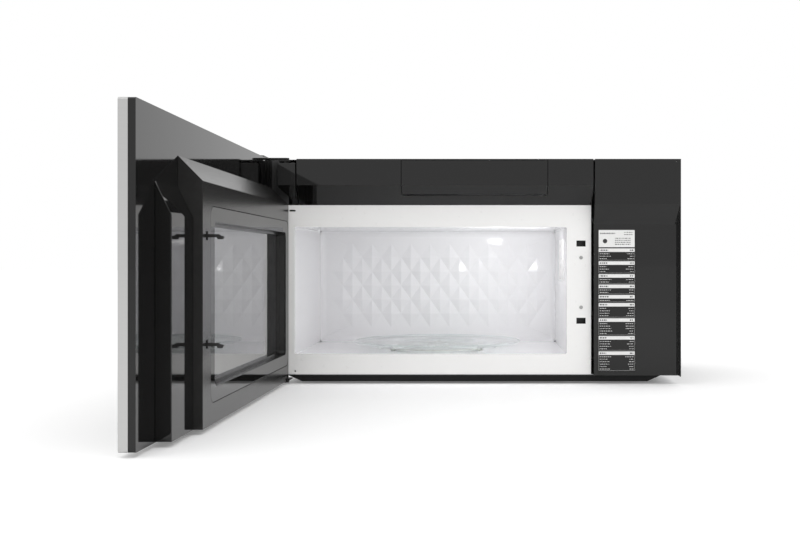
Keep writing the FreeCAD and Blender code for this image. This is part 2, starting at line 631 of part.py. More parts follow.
def make_cooling_fan():
    f_plate = FAN_F
    plate = block(FAN_X - 62, FAN_X + 62, f_plate, f_plate + 1.2, SHEET, SHEET + 132)
    plate = plate.cut(rod_f(FAN_RADIUS + 3, f_plate - 1, f_plate + 3, FAN_X, FAN_Z))
    ring = rod_f(FAN_RADIUS + 5, f_plate - 14, f_plate, FAN_X, FAN_Z)
    ring = ring.cut(rod_f(FAN_RADIUS + 3, f_plate - 15, f_plate + 3, FAN_X, FAN_Z))
    struts = []
    for side in (-1, 1):
        x = FAN_X + side * 24.0
        struts.append(block(x - 4, x + 4, f_plate + 1.2, f_plate + 3.2, FAN_Z - 58, FAN_Z + 58))
    shroud = [plate, ring] + struts
    core = block(FAN_X - 30, FAN_X + 30, f_plate + 3.2, f_plate + 21.0, FAN_Z - 27, FAN_Z + 27)
    core = rounded(core, 4.0, Y_AXIS)
    core = core.cut(rod_f(SHAFT_RADIUS + FIT, f_plate, f_plate + 22, FAN_X, FAN_Z))
    save("cooling_fan_motor", fuse_all(shroud).fuse(core).cut(
        rod_f(SHAFT_RADIUS + FIT, f_plate, f_plate + 22, FAN_X, FAN_Z)).removeSplitter())
    hub = rod_f(15.0, f_plate - 11.0, f_plate + 1.6, FAN_X, FAN_Z)
    shaft = rod_f(SHAFT_RADIUS, f_plate - 11.0, f_plate + 20.0, FAN_X, FAN_Z)
    pieces = [hub, shaft]
    centre = Vector(FAN_X, 0, FAN_Z)
    for index in range(FAN_BLADES):
        blade = block(FAN_X - 15, FAN_X + 15, f_plate - 6.0, f_plate - 4.2, FAN_Z + 12, FAN_Z + FAN_RADIUS)
        blade.rotate(Vector(FAN_X, f_plate - 5.1 - BODY_DEPTH, FAN_Z), Z_AXIS, 22.0)
        blade = blade.common(rod_f(FAN_RADIUS, f_plate - 12.5, f_plate + 0.8, FAN_X, FAN_Z))
        blade.rotate(centre, Y_AXIS, index * 360.0 / FAN_BLADES)
        pieces.append(blade)
    save("cooling_fan", fuse_all(pieces))


def make_power_board():
    left = POWER_BOARD_X
    low = POWER_BOARD_Z
    back = POWER_BOARD_F + BOARD_SHEET
    board = block(left, left + POWER_BOARD_SIZE, POWER_BOARD_F, back, low, low + POWER_BOARD_SIZE)
    pieces = [board]
    for x, z, wide, tall, deep in ((14, 14, 26, 22, 18), (54, 14, 26, 22, 18), (96, 12, 24, 34, 26),
                                   (16, 68, 40, 30, 24), (76, 74, 18, 18, 30), (104, 78, 16, 34, 14)):
        pieces.append(block(left + x, left + x + wide, back, back + deep, low + z, low + z + tall))
    for z in (low, low + POWER_BOARD_SIZE - 6.0):
        pieces.append(block(left + POWER_BOARD_SIZE - 16.0, HALF - SHEET, POWER_BOARD_F - 4.0, POWER_BOARD_F,
                            z, z + 6.0))
    save("power_board", fuse_all(pieces))


def make_latch_board():
    x0 = LATCH_X - 15.0
    x1 = LATCH_X + 15.0
    f0 = CAV_FRONT
    board = block(x0, x1, f0, f0 + 44.0, LATCH_LOW - 22, LATCH_HIGH + 22)
    tools = []
    for z in (LATCH_HIGH, LATCH_LOW):
        half = SLOT_WIDTH / 2.0
        tall = SLOT_HEIGHT / 2.0
        tools.append(block(LATCH_X - half, LATCH_X + half, f0 - 1, f0 + 34.0, z - tall, z + tall + 6.0))
    tools.append(block(x0 + 4, x1 + 1, f0 + 4, f0 + 45, LATCH_LOW + 22, LATCH_HIGH - 22))
    for z in (PLATE_SCREW_HIGH, PLATE_SCREW_LOW):
        tools.append(rod_f(SCREW_RADIUS, f0 - 1, f0 + 12, LATCH_X, z))
    save("latch_board", cut_all(board, tools))
    switches = []
    for z in (LATCH_LOW + 34, LATCH_LOW + 62, LATCH_HIGH - 50):
        body = block(x0 + 4, x0 + 14.2, f0 + 14, f0 + 42, z, z + 16)
        button = block(x0 + 14.2, x0 + 16.0, f0 + 20, f0 + 24, z + 5, z + 11)
        tabs = block(x0 + 6, x0 + 12, f0 + 42, f0 + 49, z + 4, z + 12)
        switches.append(fuse_all([body, button, tabs]))
    save("door_switches", switches)


def make_turntable():
    motor_top = WELL_Z - CAV_SHEET
    can = rod_z(TT_MOTOR_RADIUS, motor_top - TT_MOTOR_HEIGHT, motor_top, TRAY_X, TRAY_F)
    ears = block(TRAY_X - 38, TRAY_X + 38, TRAY_F - 7, TRAY_F + 7, motor_top - 1.4, motor_top)
    terminals = block(TRAY_X - 8, TRAY_X + 8, TRAY_F + TT_MOTOR_RADIUS - 2, TRAY_F + TT_MOTOR_RADIUS + 9,
                      motor_top - 12, motor_top - 3)
    motor = fuse_all([can, ears, terminals])
    motor = motor.cut(rod_z(SHAFT_RADIUS + FIT, motor_top - 12, motor_top + 1, TRAY_X, TRAY_F))
    save("turntable_motor", motor)

    shaft = rod_z(SHAFT_RADIUS, motor_top - 11, TRAY_Z, TRAY_X, TRAY_F)
    hub = rod_z(10.0, WELL_Z + 1.0, TRAY_Z, TRAY_X, TRAY_F)
    pieces = [shaft, hub]
    for index in range(3):
        lobe = block(TRAY_X - 5, TRAY_X + 5, TRAY_F, TRAY_F + COUPLER_RADIUS, TRAY_Z - 6.0, TRAY_Z)
        lobe = rounded(lobe, 3.0, Z_AXIS)
        lobe.rotate(Vector(TRAY_X, TRAY_F - BODY_DEPTH, 0), Z_AXIS, index * 120.0)
        pieces.append(lobe)
    save("turntable_coupler", fuse_all(pieces))

    profile = [(0, 0), (TRAY_RADIUS - 9, 0), (TRAY_RADIUS - 2.5, 1.6), (TRAY_RADIUS, TRAY_RIM),
               (TRAY_RADIUS - 3.2, TRAY_RIM), (TRAY_RADIUS - 7.5, TRAY_GLASS + 0.8),
               (TRAY_RADIUS - 14, TRAY_GLASS), (0, TRAY_GLASS)]
    points = [Vector(r, 0, z) for r, z in profile]
    tray = face_of(points).revolve(Vector(0, 0, 0), Z_AXIS, 360)
    tray.translate(Vector(TRAY_X, TRAY_F - BODY_DEPTH, TRAY_Z))
    save("glass_tray", tray)

    ring = rod_z(ROLLER_CIRCLE - ROLLER_WIDTH / 2.0 - 1.0, AXLE_Z - 2.6, AXLE_Z + 2.6, TRAY_X, TRAY_F)
    ring = ring.cut(rod_z(ROLLER_CIRCLE - 16.0, AXLE_Z - 3, AXLE_Z + 3, TRAY_X, TRAY_F))
    arms = []
    for index in range(ROLLER_COUNT):
        start = ROLLER_CIRCLE - ROLLER_WIDTH / 2.0 - 2.0
        axle = rod_x(AXLE_RADIUS, TRAY_X + start, TRAY_X + ROLLER_CIRCLE + ROLLER_WIDTH / 2.0 + 1.2,
                     TRAY_F, AXLE_Z)
        cap_x = TRAY_X + ROLLER_CIRCLE + ROLLER_WIDTH / 2.0 + 0.4
        axle = axle.fuse(rod_x(AXLE_RADIUS + 0.9, cap_x, cap_x + 1.4, TRAY_F, AXLE_Z))
        axle.rotate(Vector(TRAY_X, TRAY_F - BODY_DEPTH, 0), Z_AXIS, roller_angle(index))
        arms.append(axle)
    save("roller_ring", fuse_all([ring] + arms))
    for index in range(ROLLER_COUNT):
        start = TRAY_X + ROLLER_CIRCLE - ROLLER_WIDTH / 2.0
        wheel = rod_x(ROLLER_RADIUS, start, start + ROLLER_WIDTH, TRAY_F, AXLE_Z)
        wheel = wheel.cut(rod_x(AXLE_RADIUS + FIT, start - 1, start + ROLLER_WIDTH + 1, TRAY_F, AXLE_Z))
        wheel.rotate(Vector(TRAY_X, TRAY_F - BODY_DEPTH, 0), Z_AXIS, roller_angle(index))
        save("roller_wheel_%d" % (index + 1), wheel)


def roller_angle(index):
    return 90.0 + index * 360.0 / ROLLER_COUNT


def make_cavity_lamp():
    x = CAV_LEFT + 70.0
    z0 = CAV_TOP + CAV_SHEET
    f = CAV_BACK - 68.5
    holder = block(x - 24, x + 24, f - 20.0, f + 20.0, z0, z0 + 26)
    holder = holder.cut(block(x - 20, x + 20, f - 16.0, f + 16.0, z0 - 1, z0 + 22))
    bulb = rod_x(4.5, x - 18, x + 12, f, z0 + 12)
    socket = rod_x(7.0, x + 12, x + 20, f, z0 + 12)
    save("cavity_lamp", fuse_all([holder, bulb, socket]))


# ================================================================ front trims
def slope(f, f_a, z_a, f_b, z_b):
    return z_a + (z_b - z_a) * (f - f_a) / (f_b - f_a)


def grille_section(front, low_f, low_z, top):
    """Bent strip: upright above the crease, slanting back below it."""
    back = front + MOULD
    return [(front, CREASE_Z), (front, top), (back, top), (back, CREASE_Z + 1.0),
            (low_f, low_z + MOULD + 1.0), (low_f, low_z)]


def grille_face(f):
    """Height of the slanting face at a depth."""
    return slope(f, 0.0, CREASE_Z, RECESS, GRILLE_LOW)


def make_vent_grille():
    left = GRILLE_LEFT
    right = SPLIT_X - SEAM
    low_f = RECESS
    low_z = GRILLE_LOW
    top = BODY_HEIGHT - 0.5
    skin = prism_x(grille_section(0.0, low_f, low_z, top), left, right)
    cap = block(left, right, 0, FRONT_BAND - 0.3, top - MOULD, top)
    ends = []
    for x in (left, right - MOULD):
        ends.append(prism_x([(0, CREASE_Z), (0, top), (FRONT_BAND - 0.3, top), (FRONT_BAND - 0.3, CREASE_Z),
                             (low_f, low_z + 3.5), (low_f, low_z)], x, x + MOULD))
    rails = []
    rail_low = FILTER_DOOR_LOW + 4.0
    for x in (FILTER_DOOR_LEFT - EAR_REACH, FILTER_DOOR_RIGHT + EAR_REACH - RAIL_WIDTH):
        rails.append(block(x, x + RAIL_WIDTH, EAR_BACK - 0.5, 20.0 + CARBON_DEPTH,
                           rail_low - 2.0, rail_low))
    grille = fuse_all([skin, cap] + ends)
    opening = block(FILTER_DOOR_LEFT - FILTER_DOOR_GAP, FILTER_DOOR_RIGHT + FILTER_DOOR_GAP, -1.0, 20.0,
                    FILTER_DOOR_LOW - FILTER_SWING_GAP, FILTER_DOOR_HIGH + FILTER_DOOR_GAP)
    grille = grille.cut(opening)
    slots = []
    pitch = 34.0
    count = int((right - left - 40.0) / pitch)
    for index in range(count):
        x = left + 24.0 + index * pitch
        slots.append(block(x, x + pitch - 8.0, 6.0, 16.0, top - MOULD - 1.0, top + 1.0))
    grille = cut_all(grille, slots)
    ears = []
    outline = [(EAR_FRONT, grille_face(EAR_FRONT) + 1.5), (EAR_FRONT, FILTER_PIVOT_Z + 6.0),
               (EAR_BACK, FILTER_PIVOT_Z + 5.0), (EAR_BACK, FILTER_PIVOT_Z - 5.0),
               (EAR_MIDDLE, grille_face(EAR_MIDDLE) + 1.5)]
    for x0, x1 in ((FILTER_DOOR_LEFT - EAR_REACH, FILTER_DOOR_LEFT - FILTER_DOOR_GAP),
                   (FILTER_DOOR_RIGHT + FILTER_DOOR_GAP, FILTER_DOOR_RIGHT + EAR_REACH)):
        ears.append(prism_x(outline, x0, x1))
    pin_reach = EAR_REACH - 0.5
    bore = rod_x(FILTER_PIN + FIT, FILTER_DOOR_LEFT - pin_reach, FILTER_DOOR_RIGHT + pin_reach,
                 FILTER_PIVOT_F, FILTER_PIVOT_Z)
    save("vent_grille", fuse_all([grille] + ears + rails).cut(bore))


def make_filter_door():
    section = grille_section(0.0, RECESS, GRILLE_LOW, BODY_HEIGHT)
    skin = prism_x(section, FILTER_DOOR_LEFT, FILTER_DOOR_RIGHT)
    keep = block(FILTER_DOOR_LEFT, FILTER_DOOR_RIGHT, -1.0, 19.0, FILTER_DOOR_LOW, FILTER_DOOR_HIGH)
    skin = skin.common(keep)
    pieces = [skin]
    pin_reach = EAR_REACH - 1.0
    for x0, pin_start, pin_end in (
            (FILTER_DOOR_LEFT, FILTER_DOOR_LEFT - pin_reach, FILTER_DOOR_LEFT + 2.0),
            (FILTER_DOOR_RIGHT - 4.0, FILTER_DOOR_RIGHT - 2.0, FILTER_DOOR_RIGHT + pin_reach)):
        pieces.append(rod_x(FILTER_BOSS, x0, x0 + 4.0, FILTER_PIVOT_F, FILTER_PIVOT_Z))
        pieces.append(rod_x(FILTER_PIN, pin_start, pin_end, FILTER_PIVOT_F, FILTER_PIVOT_Z))
    save("charcoal_filter_door", fuse_all(pieces))


def make_charcoal_filter():
    z0 = FILTER_DOOR_LOW + 4.0
    x0 = FILTER_DOOR_LEFT + 5.0
    x1 = FILTER_DOOR_RIGHT - 5.0
    f0 = 26.0
    frame = block(x0 - 3.0, x1 + 2.5, f0, f0 + CARBON_DEPTH - 8.0, z0, z0 + CARBON_THICK)
    frame = rounded(frame, 4.0, Z_AXIS)
    pad_end = f0 + CARBON_DEPTH - 16.0
    frame = frame.cut(block(x0 + 4.0, x1 - 4.0, f0 + 8.0, pad_end, z0 - 1, z0 + CARBON_THICK + 1))
    pad = block(x0 + 4.0, x1 - 4.0, f0 + 8.0, pad_end, z0 + 1.0, z0 + CARBON_THICK - 1.0)
    save("charcoal_filter", fuse_all([frame, pad]))


def make_hinge_cover():
    left = -HALF + 1.5
    right = GRILLE_LEFT - 2.5
    top = HINGE_COVER_TOP
    front = 1.0
    low_z = GRILLE_LOW
    shell = prism_x(grille_section(front, RECESS, low_z, top), left, right)
    cap = block(left, right, front, FRONT_BAND - 0.3, top - MOULD, top)
    side = prism_x([(front, CREASE_Z), (front, top), (FRONT_BAND - 0.3, top), (FRONT_BAND - 0.3, CREASE_Z)],
                   left, left + MOULD)
    cover = fuse_all([shell, cap, side])
    corner = prism_f([(left - 3.0, CREASE_Z), (left + 22.0, CREASE_Z - 24.0), (left + 22.0, low_z - 5.0),
                      (left - 3.0, low_z - 5.0)], -2.0, RECESS + 5.0)
    save("hinge_cover", cover.cut(corner))


def make_control_side():
    top = BODY_HEIGHT - 0.5
    left = SPLIT_X
    right = HALF
    inside = HALF - SHEET - 0.1
    shell = prism_x([(0, SLANT_TOP), (0, top), (MOULD, top), (MOULD, SLANT_TOP + 0.7),
                     (LABEL_RECESS + MOULD, SLANT_BOTTOM + 0.7), (LABEL_RECESS + MOULD, 0),
                     (LABEL_RECESS, 0), (LABEL_RECESS, SLANT_BOTTOM)], left, inside)
    section = [(0, SLANT_TOP), (0, top), (FRONT_BAND - 0.3, top), (FRONT_BAND - 0.3, ROOF - 0.3),
               (RECESS, ROOF - 0.3), (RECESS, 0), (LABEL_RECESS, 0), (LABEL_RECESS, SLANT_BOTTOM)]
    left_wall = prism_x(section, left, left + MOULD)
    cap = block(left, right, 0, FRONT_BAND - 0.3, top - MOULD, top)
    lip = block(right - LIP_SHEET, right, 0, FRONT_BAND, 0, top)
    floor = block(left, inside, LABEL_RECESS, RECESS, 0, MOULD)
    panel = fuse_all([shell, left_wall, cap, lip, floor])
    save("control_side_panel", panel)
    label = block(LABEL_LEFT, LABEL_RIGHT, LABEL_RECESS - LABEL_FILM, LABEL_RECESS, LABEL_LOW, LABEL_HIGH)
    save("cooking_guide_label", rounded(label, 3.0, Y_AXIS))


# ================================================================ vent path
def make_blower():
    wheel_shapes = []
    motor_half = BLOWER_MOTOR_LENGTH / 2.0
    reach = SCROLL_GAP / 2.0 + SCROLL_WIDTH / 2.0
    shaft = rod_x(SHAFT_RADIUS, -reach - 10, reach + 10, BLOWER_F, BLOWER_Z)
    wheel_shapes.append(shaft)
    for side in (-1, 1):
        centre = side * reach
        x0 = centre - WHEEL_WIDTH / 2.0
        disc = rod_x(WHEEL_RADIUS, centre - 1.0, centre + 1.0, BLOWER_F, BLOWER_Z)
        hub = rod_x(9.0, centre - 10.0, centre + 10.0, BLOWER_F, BLOWER_Z)
        pieces = [disc, hub]
        for x in (x0, x0 + WHEEL_WIDTH - 2.0):
            ring = rod_x(WHEEL_RADIUS, x, x + 2.0, BLOWER_F, BLOWER_Z)
            pieces.append(ring.cut(rod_x(WHEEL_RADIUS - 8.0, x - 1, x + 3, BLOWER_F, BLOWER_Z)))
        for index in range(BLADES):
            blade = block(x0, x0 + WHEEL_WIDTH, BLOWER_F - 0.6, BLOWER_F + 0.6,
                          BLOWER_Z + WHEEL_RADIUS - 8.0, BLOWER_Z + WHEEL_RADIUS - 0.4)
            blade.rotate(Vector(0, BLOWER_F - BODY_DEPTH, BLOWER_Z + WHEEL_RADIUS - 4.0), X_AXIS, 30.0)
            blade.rotate(Vector(0, BLOWER_F - BODY_DEPTH, BLOWER_Z), X_AXIS, index * 360.0 / BLADES)
            pieces.append(blade)
        wheel_shapes += pieces
    wheels = wheel_shapes[0].multiFuse(wheel_shapes[1:]).removeSplitter()
    save("blower_wheels", wheels)

    can = rod_x(BLOWER_MOTOR_RADIUS, -motor_half, motor_half, BLOWER_F, BLOWER_Z)
    can = can.cut(rod_x(SHAFT_RADIUS + FIT, -motor_half - 1, motor_half + 1, BLOWER_F, BLOWER_Z))
    foot_low = CAV_TOP + CAV_SHEET
    feet = block(-26, 26, BLOWER_F - 22, BLOWER_F + 22, foot_low, BLOWER_Z - BLOWER_MOTOR_RADIUS + 4.0)
    bore = rod_x(BLOWER_MOTOR_RADIUS - 4.0, -40, 40, BLOWER_F, BLOWER_Z)
    save("blower_motor", can.fuse(feet.cut(bore)).removeSplitter())

    housings = []
    for side in (-1, 1):
        centre = side * reach
        x0 = centre - SCROLL_WIDTH / 2.0
        x1 = centre + SCROLL_WIDTH / 2.0
        outer = rod_x(SCROLL_RADIUS, x0, x1, BLOWER_F, BLOWER_Z)
        throat = block(x0, x1, DUCT_FRONT, DUCT_BACK - 2.0, BLOWER_Z, ROOF)
        outer = outer.fuse(throat)
        wall = SCROLL_SHEET
        inner = rod_x(SCROLL_RADIUS - wall, x0 + wall, x1 - wall, BLOWER_F, BLOWER_Z)
        inner = inner.fuse(block(x0 + wall, x1 - wall, DUCT_FRONT + wall, DUCT_BACK - 2.0 - wall,
                                 BLOWER_Z + wall, ROOF + 1))
        shell = outer.cut(inner)
        shell = shell.cut(rod_x(WHEEL_RADIUS - 9.0, x0 - 1, x1 + 1, BLOWER_F, BLOWER_Z))
        housings.append(shell.removeSplitter())
    save("blower_housings", housings)


def make_exhaust():
    wall = DUCT_SHEET
    flange = exhaust_hole(14.0, BODY_HEIGHT, BODY_HEIGHT + wall)
    flange = flange.common(block(-HALF, HALF, 0, BACK_F, 0, BODY_HEIGHT + 50))
    collar = exhaust_hole(-FRAME_CLEAR, BODY_HEIGHT, BODY_HEIGHT + DUCT_RISE)
    bore = exhaust_hole(-FRAME_CLEAR - wall, BODY_HEIGHT - 5, BODY_HEIGHT + DUCT_RISE + 5)
    adapter = flange.fuse(collar).cut(bore)
    half = DUCT_WIDTH / 2.0 - FRAME_CLEAR - wall
    pivot_z = BODY_HEIGHT + DAMPER_Z
    for x in (-half - wall, half):
        adapter = adapter.cut(rod_x(DAMPER_PIN + FIT, x - 1, x + wall + 1, DAMPER_F, pivot_z))
    save("exhaust_adapter", adapter.removeSplitter())
    side = half - FRAME_CLEAR
    flap = block(-side, side, DAMPER_F - 3.0, DUCT_BACK - wall - 2.4, pivot_z + 2.0,
                 pivot_z + 2.0 + DAMPER_SHEET)
    barrel = rod_x(2.0 + DAMPER_SHEET, -side, side, DAMPER_F, pivot_z)
    pin = rod_x(DAMPER_PIN, -half - wall, half + wall, DAMPER_F, pivot_z)
    save("exhaust_damper", fuse_all([flap, barrel, pin]))


def make_grease_filters():
    for x, name in ((GREASE_LEFT_X, "left"), (GREASE_RIGHT_X, "right")):
        z0 = -PAN_DROP + PAN_SHEET
        rim = grease_hole(x, 0, z0, z0 + GREASE_THICK)
        rim = rounded(rim, 5.0, Z_AXIS)
        mesh = grease_hole(x, -7.0, z0 + 0.5, z0 + GREASE_THICK - 0.5)
        frame = rim.cut(grease_hole(x, -7.0, z0 - 1, z0 + GREASE_THICK + 1))
        front = GREASE_F - GREASE_DEPTH / 2.0 + GREASE_LAP
        tab = block(x - 12.0, x + 12.0, front + 2.0, front + 14.0, z0 - 0.6, z0 + 0.5)
        save("grease_filter_" + name, fuse_all([frame, mesh, tab]))


def make_lamps():
    lamps = []
    lenses = []
    for x in (LAMP_LEFT_X, LAMP_RIGHT_X):
        z0 = -PAN_DROP
        lenses.append(rounded(lens_hole(x, 0, z0, z0 + LENS_THICK), 4.0, Z_AXIS))
        cup_low = z0 + LENS_THICK + 0.4
        cup = lens_hole(x, -7.0, cup_low, cup_low + LAMP_CUP_HEIGHT)
        hollow = lens_hole(x, -8.2, cup_low - 1, cup_low + LAMP_CUP_HEIGHT - 1.2)
        brim = lens_hole(x, 3.0, -1.0, 0).cut(lens_hole(x, -8.2, -3, 3))
        bulb = rod_x(4.0, x - 14, x + 14, LAMP_F, cup_low + 4.8)
        stem = block(x - 4, x + 4, LAMP_F - 2, LAMP_F + 2, cup_low + 6.0, cup_low + LAMP_CUP_HEIGHT)
        lamps.append(fuse_all([cup.cut(hollow), brim, bulb, stem]))
    save("cooktop_lamp_lenses", lenses)
    save("cooktop_lamps", lamps)


def make_cabinet_nuts():
    nuts = []
    half = CABINET_BOLT_X / 2.0
    for side in (-1, 1):
        points = []
        for index in range(6):
            angle = math.radians(60.0 * index)
            points.append((side * half + NUT_RADIUS * math.cos(angle),
                           CABINET_BOLT_F + NUT_RADIUS * math.sin(angle)))
        nut = prism_z(points, ROOF - NUT_HEIGHT, ROOF)
        hole = rod_z(CABINET_BOLT_RADIUS, ROOF - NUT_HEIGHT - 1, ROOF + 1, side * half, CABINET_BOLT_F)
        nuts.append(nut.cut(hole))
    save("cabinet_bolt_nuts", nuts)


# ================================================================ hinges, body side
def make_hinge_brackets():
    x0 = -HALF + SHEET + 0.2
    x1 = HINGE_X + 11.0
    upper = block(x0, x1, HINGE_F - ARM_HALF, HINGE_F + 60.0, ROOF - BRACKET_SHEET, ROOF)
    web = block(x0, x0 + BRACKET_SHEET, FRONT_BAND + 0.5, HINGE_F + 60.0,
                CREASE_Z + 6.0, ROOF - BRACKET_SHEET)
    upper = upper.fuse(web)
    low = LOWER_TONGUE_Z
    tongue = block(-HALF + 2.0, HINGE_X + 9.0, HINGE_F - ARM_HALF - 0.4, 50.0, low, low + BRACKET_SHEET)
    web = block(-HALF + 2.0, PAN_LEFT - PAN_FLARE - 1.0, 47.5, 50.0, low, 0)
    flange = block(-HALF + 2.0, PAN_LEFT - PAN_FLARE - 1.0, 47.5, 92.0, -BRACKET_SHEET, 0)
    lower = fuse_all([tongue, web, flange])
    top_pin = rod_z(PIN_RADIUS, ROOF - BRACKET_SHEET - 3.0, ARM_TOP_Z + ARM_SHEET, HINGE_X, HINGE_F)
    top_pin = top_pin.fuse(rod_z(PIN_RADIUS + 2.0, ROOF - BRACKET_SHEET - 5.0, ROOF - BRACKET_SHEET,
                                 HINGE_X, HINGE_F))
    low_pin = rod_z(PIN_RADIUS, DOOR_BOTTOM - ARM_SHEET, low + BRACKET_SHEET + 2.0, HINGE_X, HINGE_F)
    low_pin = low_pin.fuse(rod_z(PIN_RADIUS + 2.0, low + BRACKET_SHEET, low + BRACKET_SHEET + 2.0,
                                 HINGE_X, HINGE_F))
    save("hinge_brackets", [fuse_all([upper, top_pin]), fuse_all([lower, low_pin])])


# ================================================================ door (drawn shut, then swung open)
def door_block(u0, u1, v0, v1, z0, z1):
    """u from the hinge edge, v inwards from the door's inner face."""
    return block(u0 - HALF, u1 - HALF, v0 - DOOR_GAP, v1 - DOOR_GAP, z0, z1)


def door_prism(outline, u0, u1):
    """Outline of (v, z) points, run from u0 to u1."""
    return prism_x([(v - DOOR_GAP, z) for v, z in outline], u0 - HALF, u1 - HALF)


def swing(shape):
    turned = shape.copy()
    turned.rotate(Vector(HINGE_X, HINGE_F - BODY_DEPTH, 0), Z_AXIS, -DOOR_OPEN)
    return turned


def save_door(name, shapes):
    if not isinstance(shapes, list):
        shapes = [shapes]
    save(name, [swing(shape) for shape in shapes])


def front_opening(u0, u1, v0, v1):
    return door_block(u0, u1, v0, v1, FRONT_LOW, FRONT_HIGH)


def make_door_skin():
    outer = door_block(0, BODY_WIDTH, SKIN_FRONT, -BACK_DEPTH, DOOR_BOTTOM, DOOR_TOP)
    outer = rounded(outer, 3.0, Y_AXIS)
    hollow = door_block(SKIN_SHEET, BODY_WIDTH - SKIN_SHEET, SKIN_FRONT + SKIN_SHEET, -BACK_DEPTH + 1,
                        DOOR_BOTTOM + SKIN_SHEET, DOOR_TOP - SKIN_SHEET)
    window = front_opening(GLASS_LEFT, GLASS_RIGHT, SKIN_FRONT - 1, SKIN_FRONT + 2)
    save_door("door_skin", outer.cut(hollow).cut(window))


def make_door_glass():
    v0 = SKIN_FRONT
    glass = front_opening(GLASS_LEFT + 0.3, GLASS_RIGHT - 0.3, v0, v0 + FRONT_GLASS)
    save_door("door_front_glass", glass)


def glass_carrier():
    v0 = SKIN_FRONT
    ring = door_block(GLASS_LEFT - 8.0, GLASS_RIGHT + 8.0, v0 + FRONT_GLASS, -BACK_DEPTH,
                      FRONT_LOW - 8.0, FRONT_HIGH + 8.0)
    hole = door_block(WINDOW_LEFT, WINDOW_RIGHT, v0, 0, WINDOW_LOW, WINDOW_HIGH)
    pocket = door_block(TOUCH_LEFT + 6.0, GLASS_RIGHT - 6.0, v0 + FRONT_GLASS + 4.0, -BACK_DEPTH + 1,
                        FRONT_LOW + 8.0, FRONT_HIGH - 8.0)
    return ring.cut(hole).cut(pocket)


def window_frame(grow, v0, v1):
    return door_block(WINDOW_LEFT - grow, WINDOW_RIGHT + grow, v0, v1,
                      WINDOW_LOW - grow, WINDOW_HIGH + grow)


def make_door_back_frame():
    outer = door_block(0.6, BODY_WIDTH - 0.6, -BACK_DEPTH, 0, DOOR_BOTTOM, DOOR_TOP)
    outer = rounded(outer, 3.0, Y_AXIS)
    hollow = door_block(0.6 + MOULD, BODY_WIDTH - 0.6 - MOULD, -BACK_DEPTH - 1, -MOULD,
                        DOOR_BOTTOM + MOULD, DOOR_TOP - MOULD)
    hole = window_frame(6.0, -BACK_DEPTH - 1, 1)
    latch_room = door_block(LATCH_U - 12.0, LATCH_U + 12.0, -BACK_DEPTH - 1, 1,
                            LATCH_LOW - 30, LATCH_HIGH + 34)
    shell = outer.cut(hollow).cut(hole)
    rim = window_frame(12.0, -BACK_DEPTH, 0).cut(hole)
    bridge = door_block(TOUCH_LEFT - 20.0, TOUCH_LEFT - 10.0, -BACK_DEPTH, 0, FRONT_LOW, FRONT_HIGH)
    save_door("door_back_frame", fuse_all([shell, rim, bridge, glass_carrier()]).cut(latch_room))


def well_block(grow, v0, v1):
    """The window's well, grown sideways, between two depths of the door."""
    shape = door_block(WELL_LEFT - grow, WELL_RIGHT + grow, v0, v1, WELL_LOW - grow, WELL_HIGH + grow)
    return rounded(shape, RING_RADIUS + grow, Y_AXIS)


def make_choke_frame():
    profile = [(0, CHOKE_BOTTOM), (CHOKE_DEPTH, CHOKE_BOTTOM), (CHOKE_DEPTH, CHOKE_TOP_FRONT),
               (0, CHOKE_TOP_BACK)]
    body = door_prism(profile, CHOKE_START, CHOKE_END)
    wall = MOULD
    inner = [(-1, CHOKE_BOTTOM + wall), (CHOKE_DEPTH - wall - REBATE, CHOKE_BOTTOM + wall),
             (CHOKE_DEPTH - wall - REBATE, CHOKE_TOP_FRONT - 1.0), (-1, CHOKE_TOP_BACK - wall)]
    shell = body.cut(door_prism(inner, CHOKE_START + wall, CHOKE_END - wall))
    rebate = door_block(BEZEL_HINGE, BEZEL_FREE, CHOKE_DEPTH - REBATE, CHOKE_DEPTH + 1,
                        BEZEL_LOW, BEZEL_HIGH)
    shell = shell.cut(rounded(rebate, BEZEL_RADIUS, Y_AXIS))
    seat = CHOKE_DEPTH - WINDOW_WELL
    shell = shell.fuse(well_block(wall, seat - WINDOW_GLASS - SCREEN_SHEET - 5.0, CHOKE_DEPTH - REBATE))
    step = seat + STEP_RISE
    shell = shell.cut(well_block(-STEP_WIDTH, seat - 9.0, step))
    shell = shell.cut(well_block(0, step, CHOKE_DEPTH + 1))
    shell = shell.cut(well_block(wall - 0.9, seat - WINDOW_GLASS - SCREEN_SHEET - 6.0, seat))
    for z in (LATCH_HIGH, LATCH_LOW):
        low = z - HOOK_DROP - 1.0
        high = z + HOOK_RISE + LATCH_TRAVEL + 1.0
        shell = shell.cut(door_block(LATCH_U - HOOK_WIDTH, LATCH_U + HOOK_WIDTH,
                                     CHOKE_DEPTH - 9, CHOKE_DEPTH + 1, low, high))
    start = CHOKE_START - HALF
    corner = prism_f([(start - 1, CHOKE_BOTTOM - 1), (start + 25.0, CHOKE_BOTTOM - 1),
                      (start + 25.0, CHOKE_BOTTOM + 6.0), (start + 16.0, CHOKE_BOTTOM + 6.5),
                      (start - 1, CHOKE_BOTTOM + 10.0)], -DOOR_GAP - 1, RECESS)
    shell = shell.cut(corner)
    save_door("choke_frame", fuse_all([shell] + latch_guides()))


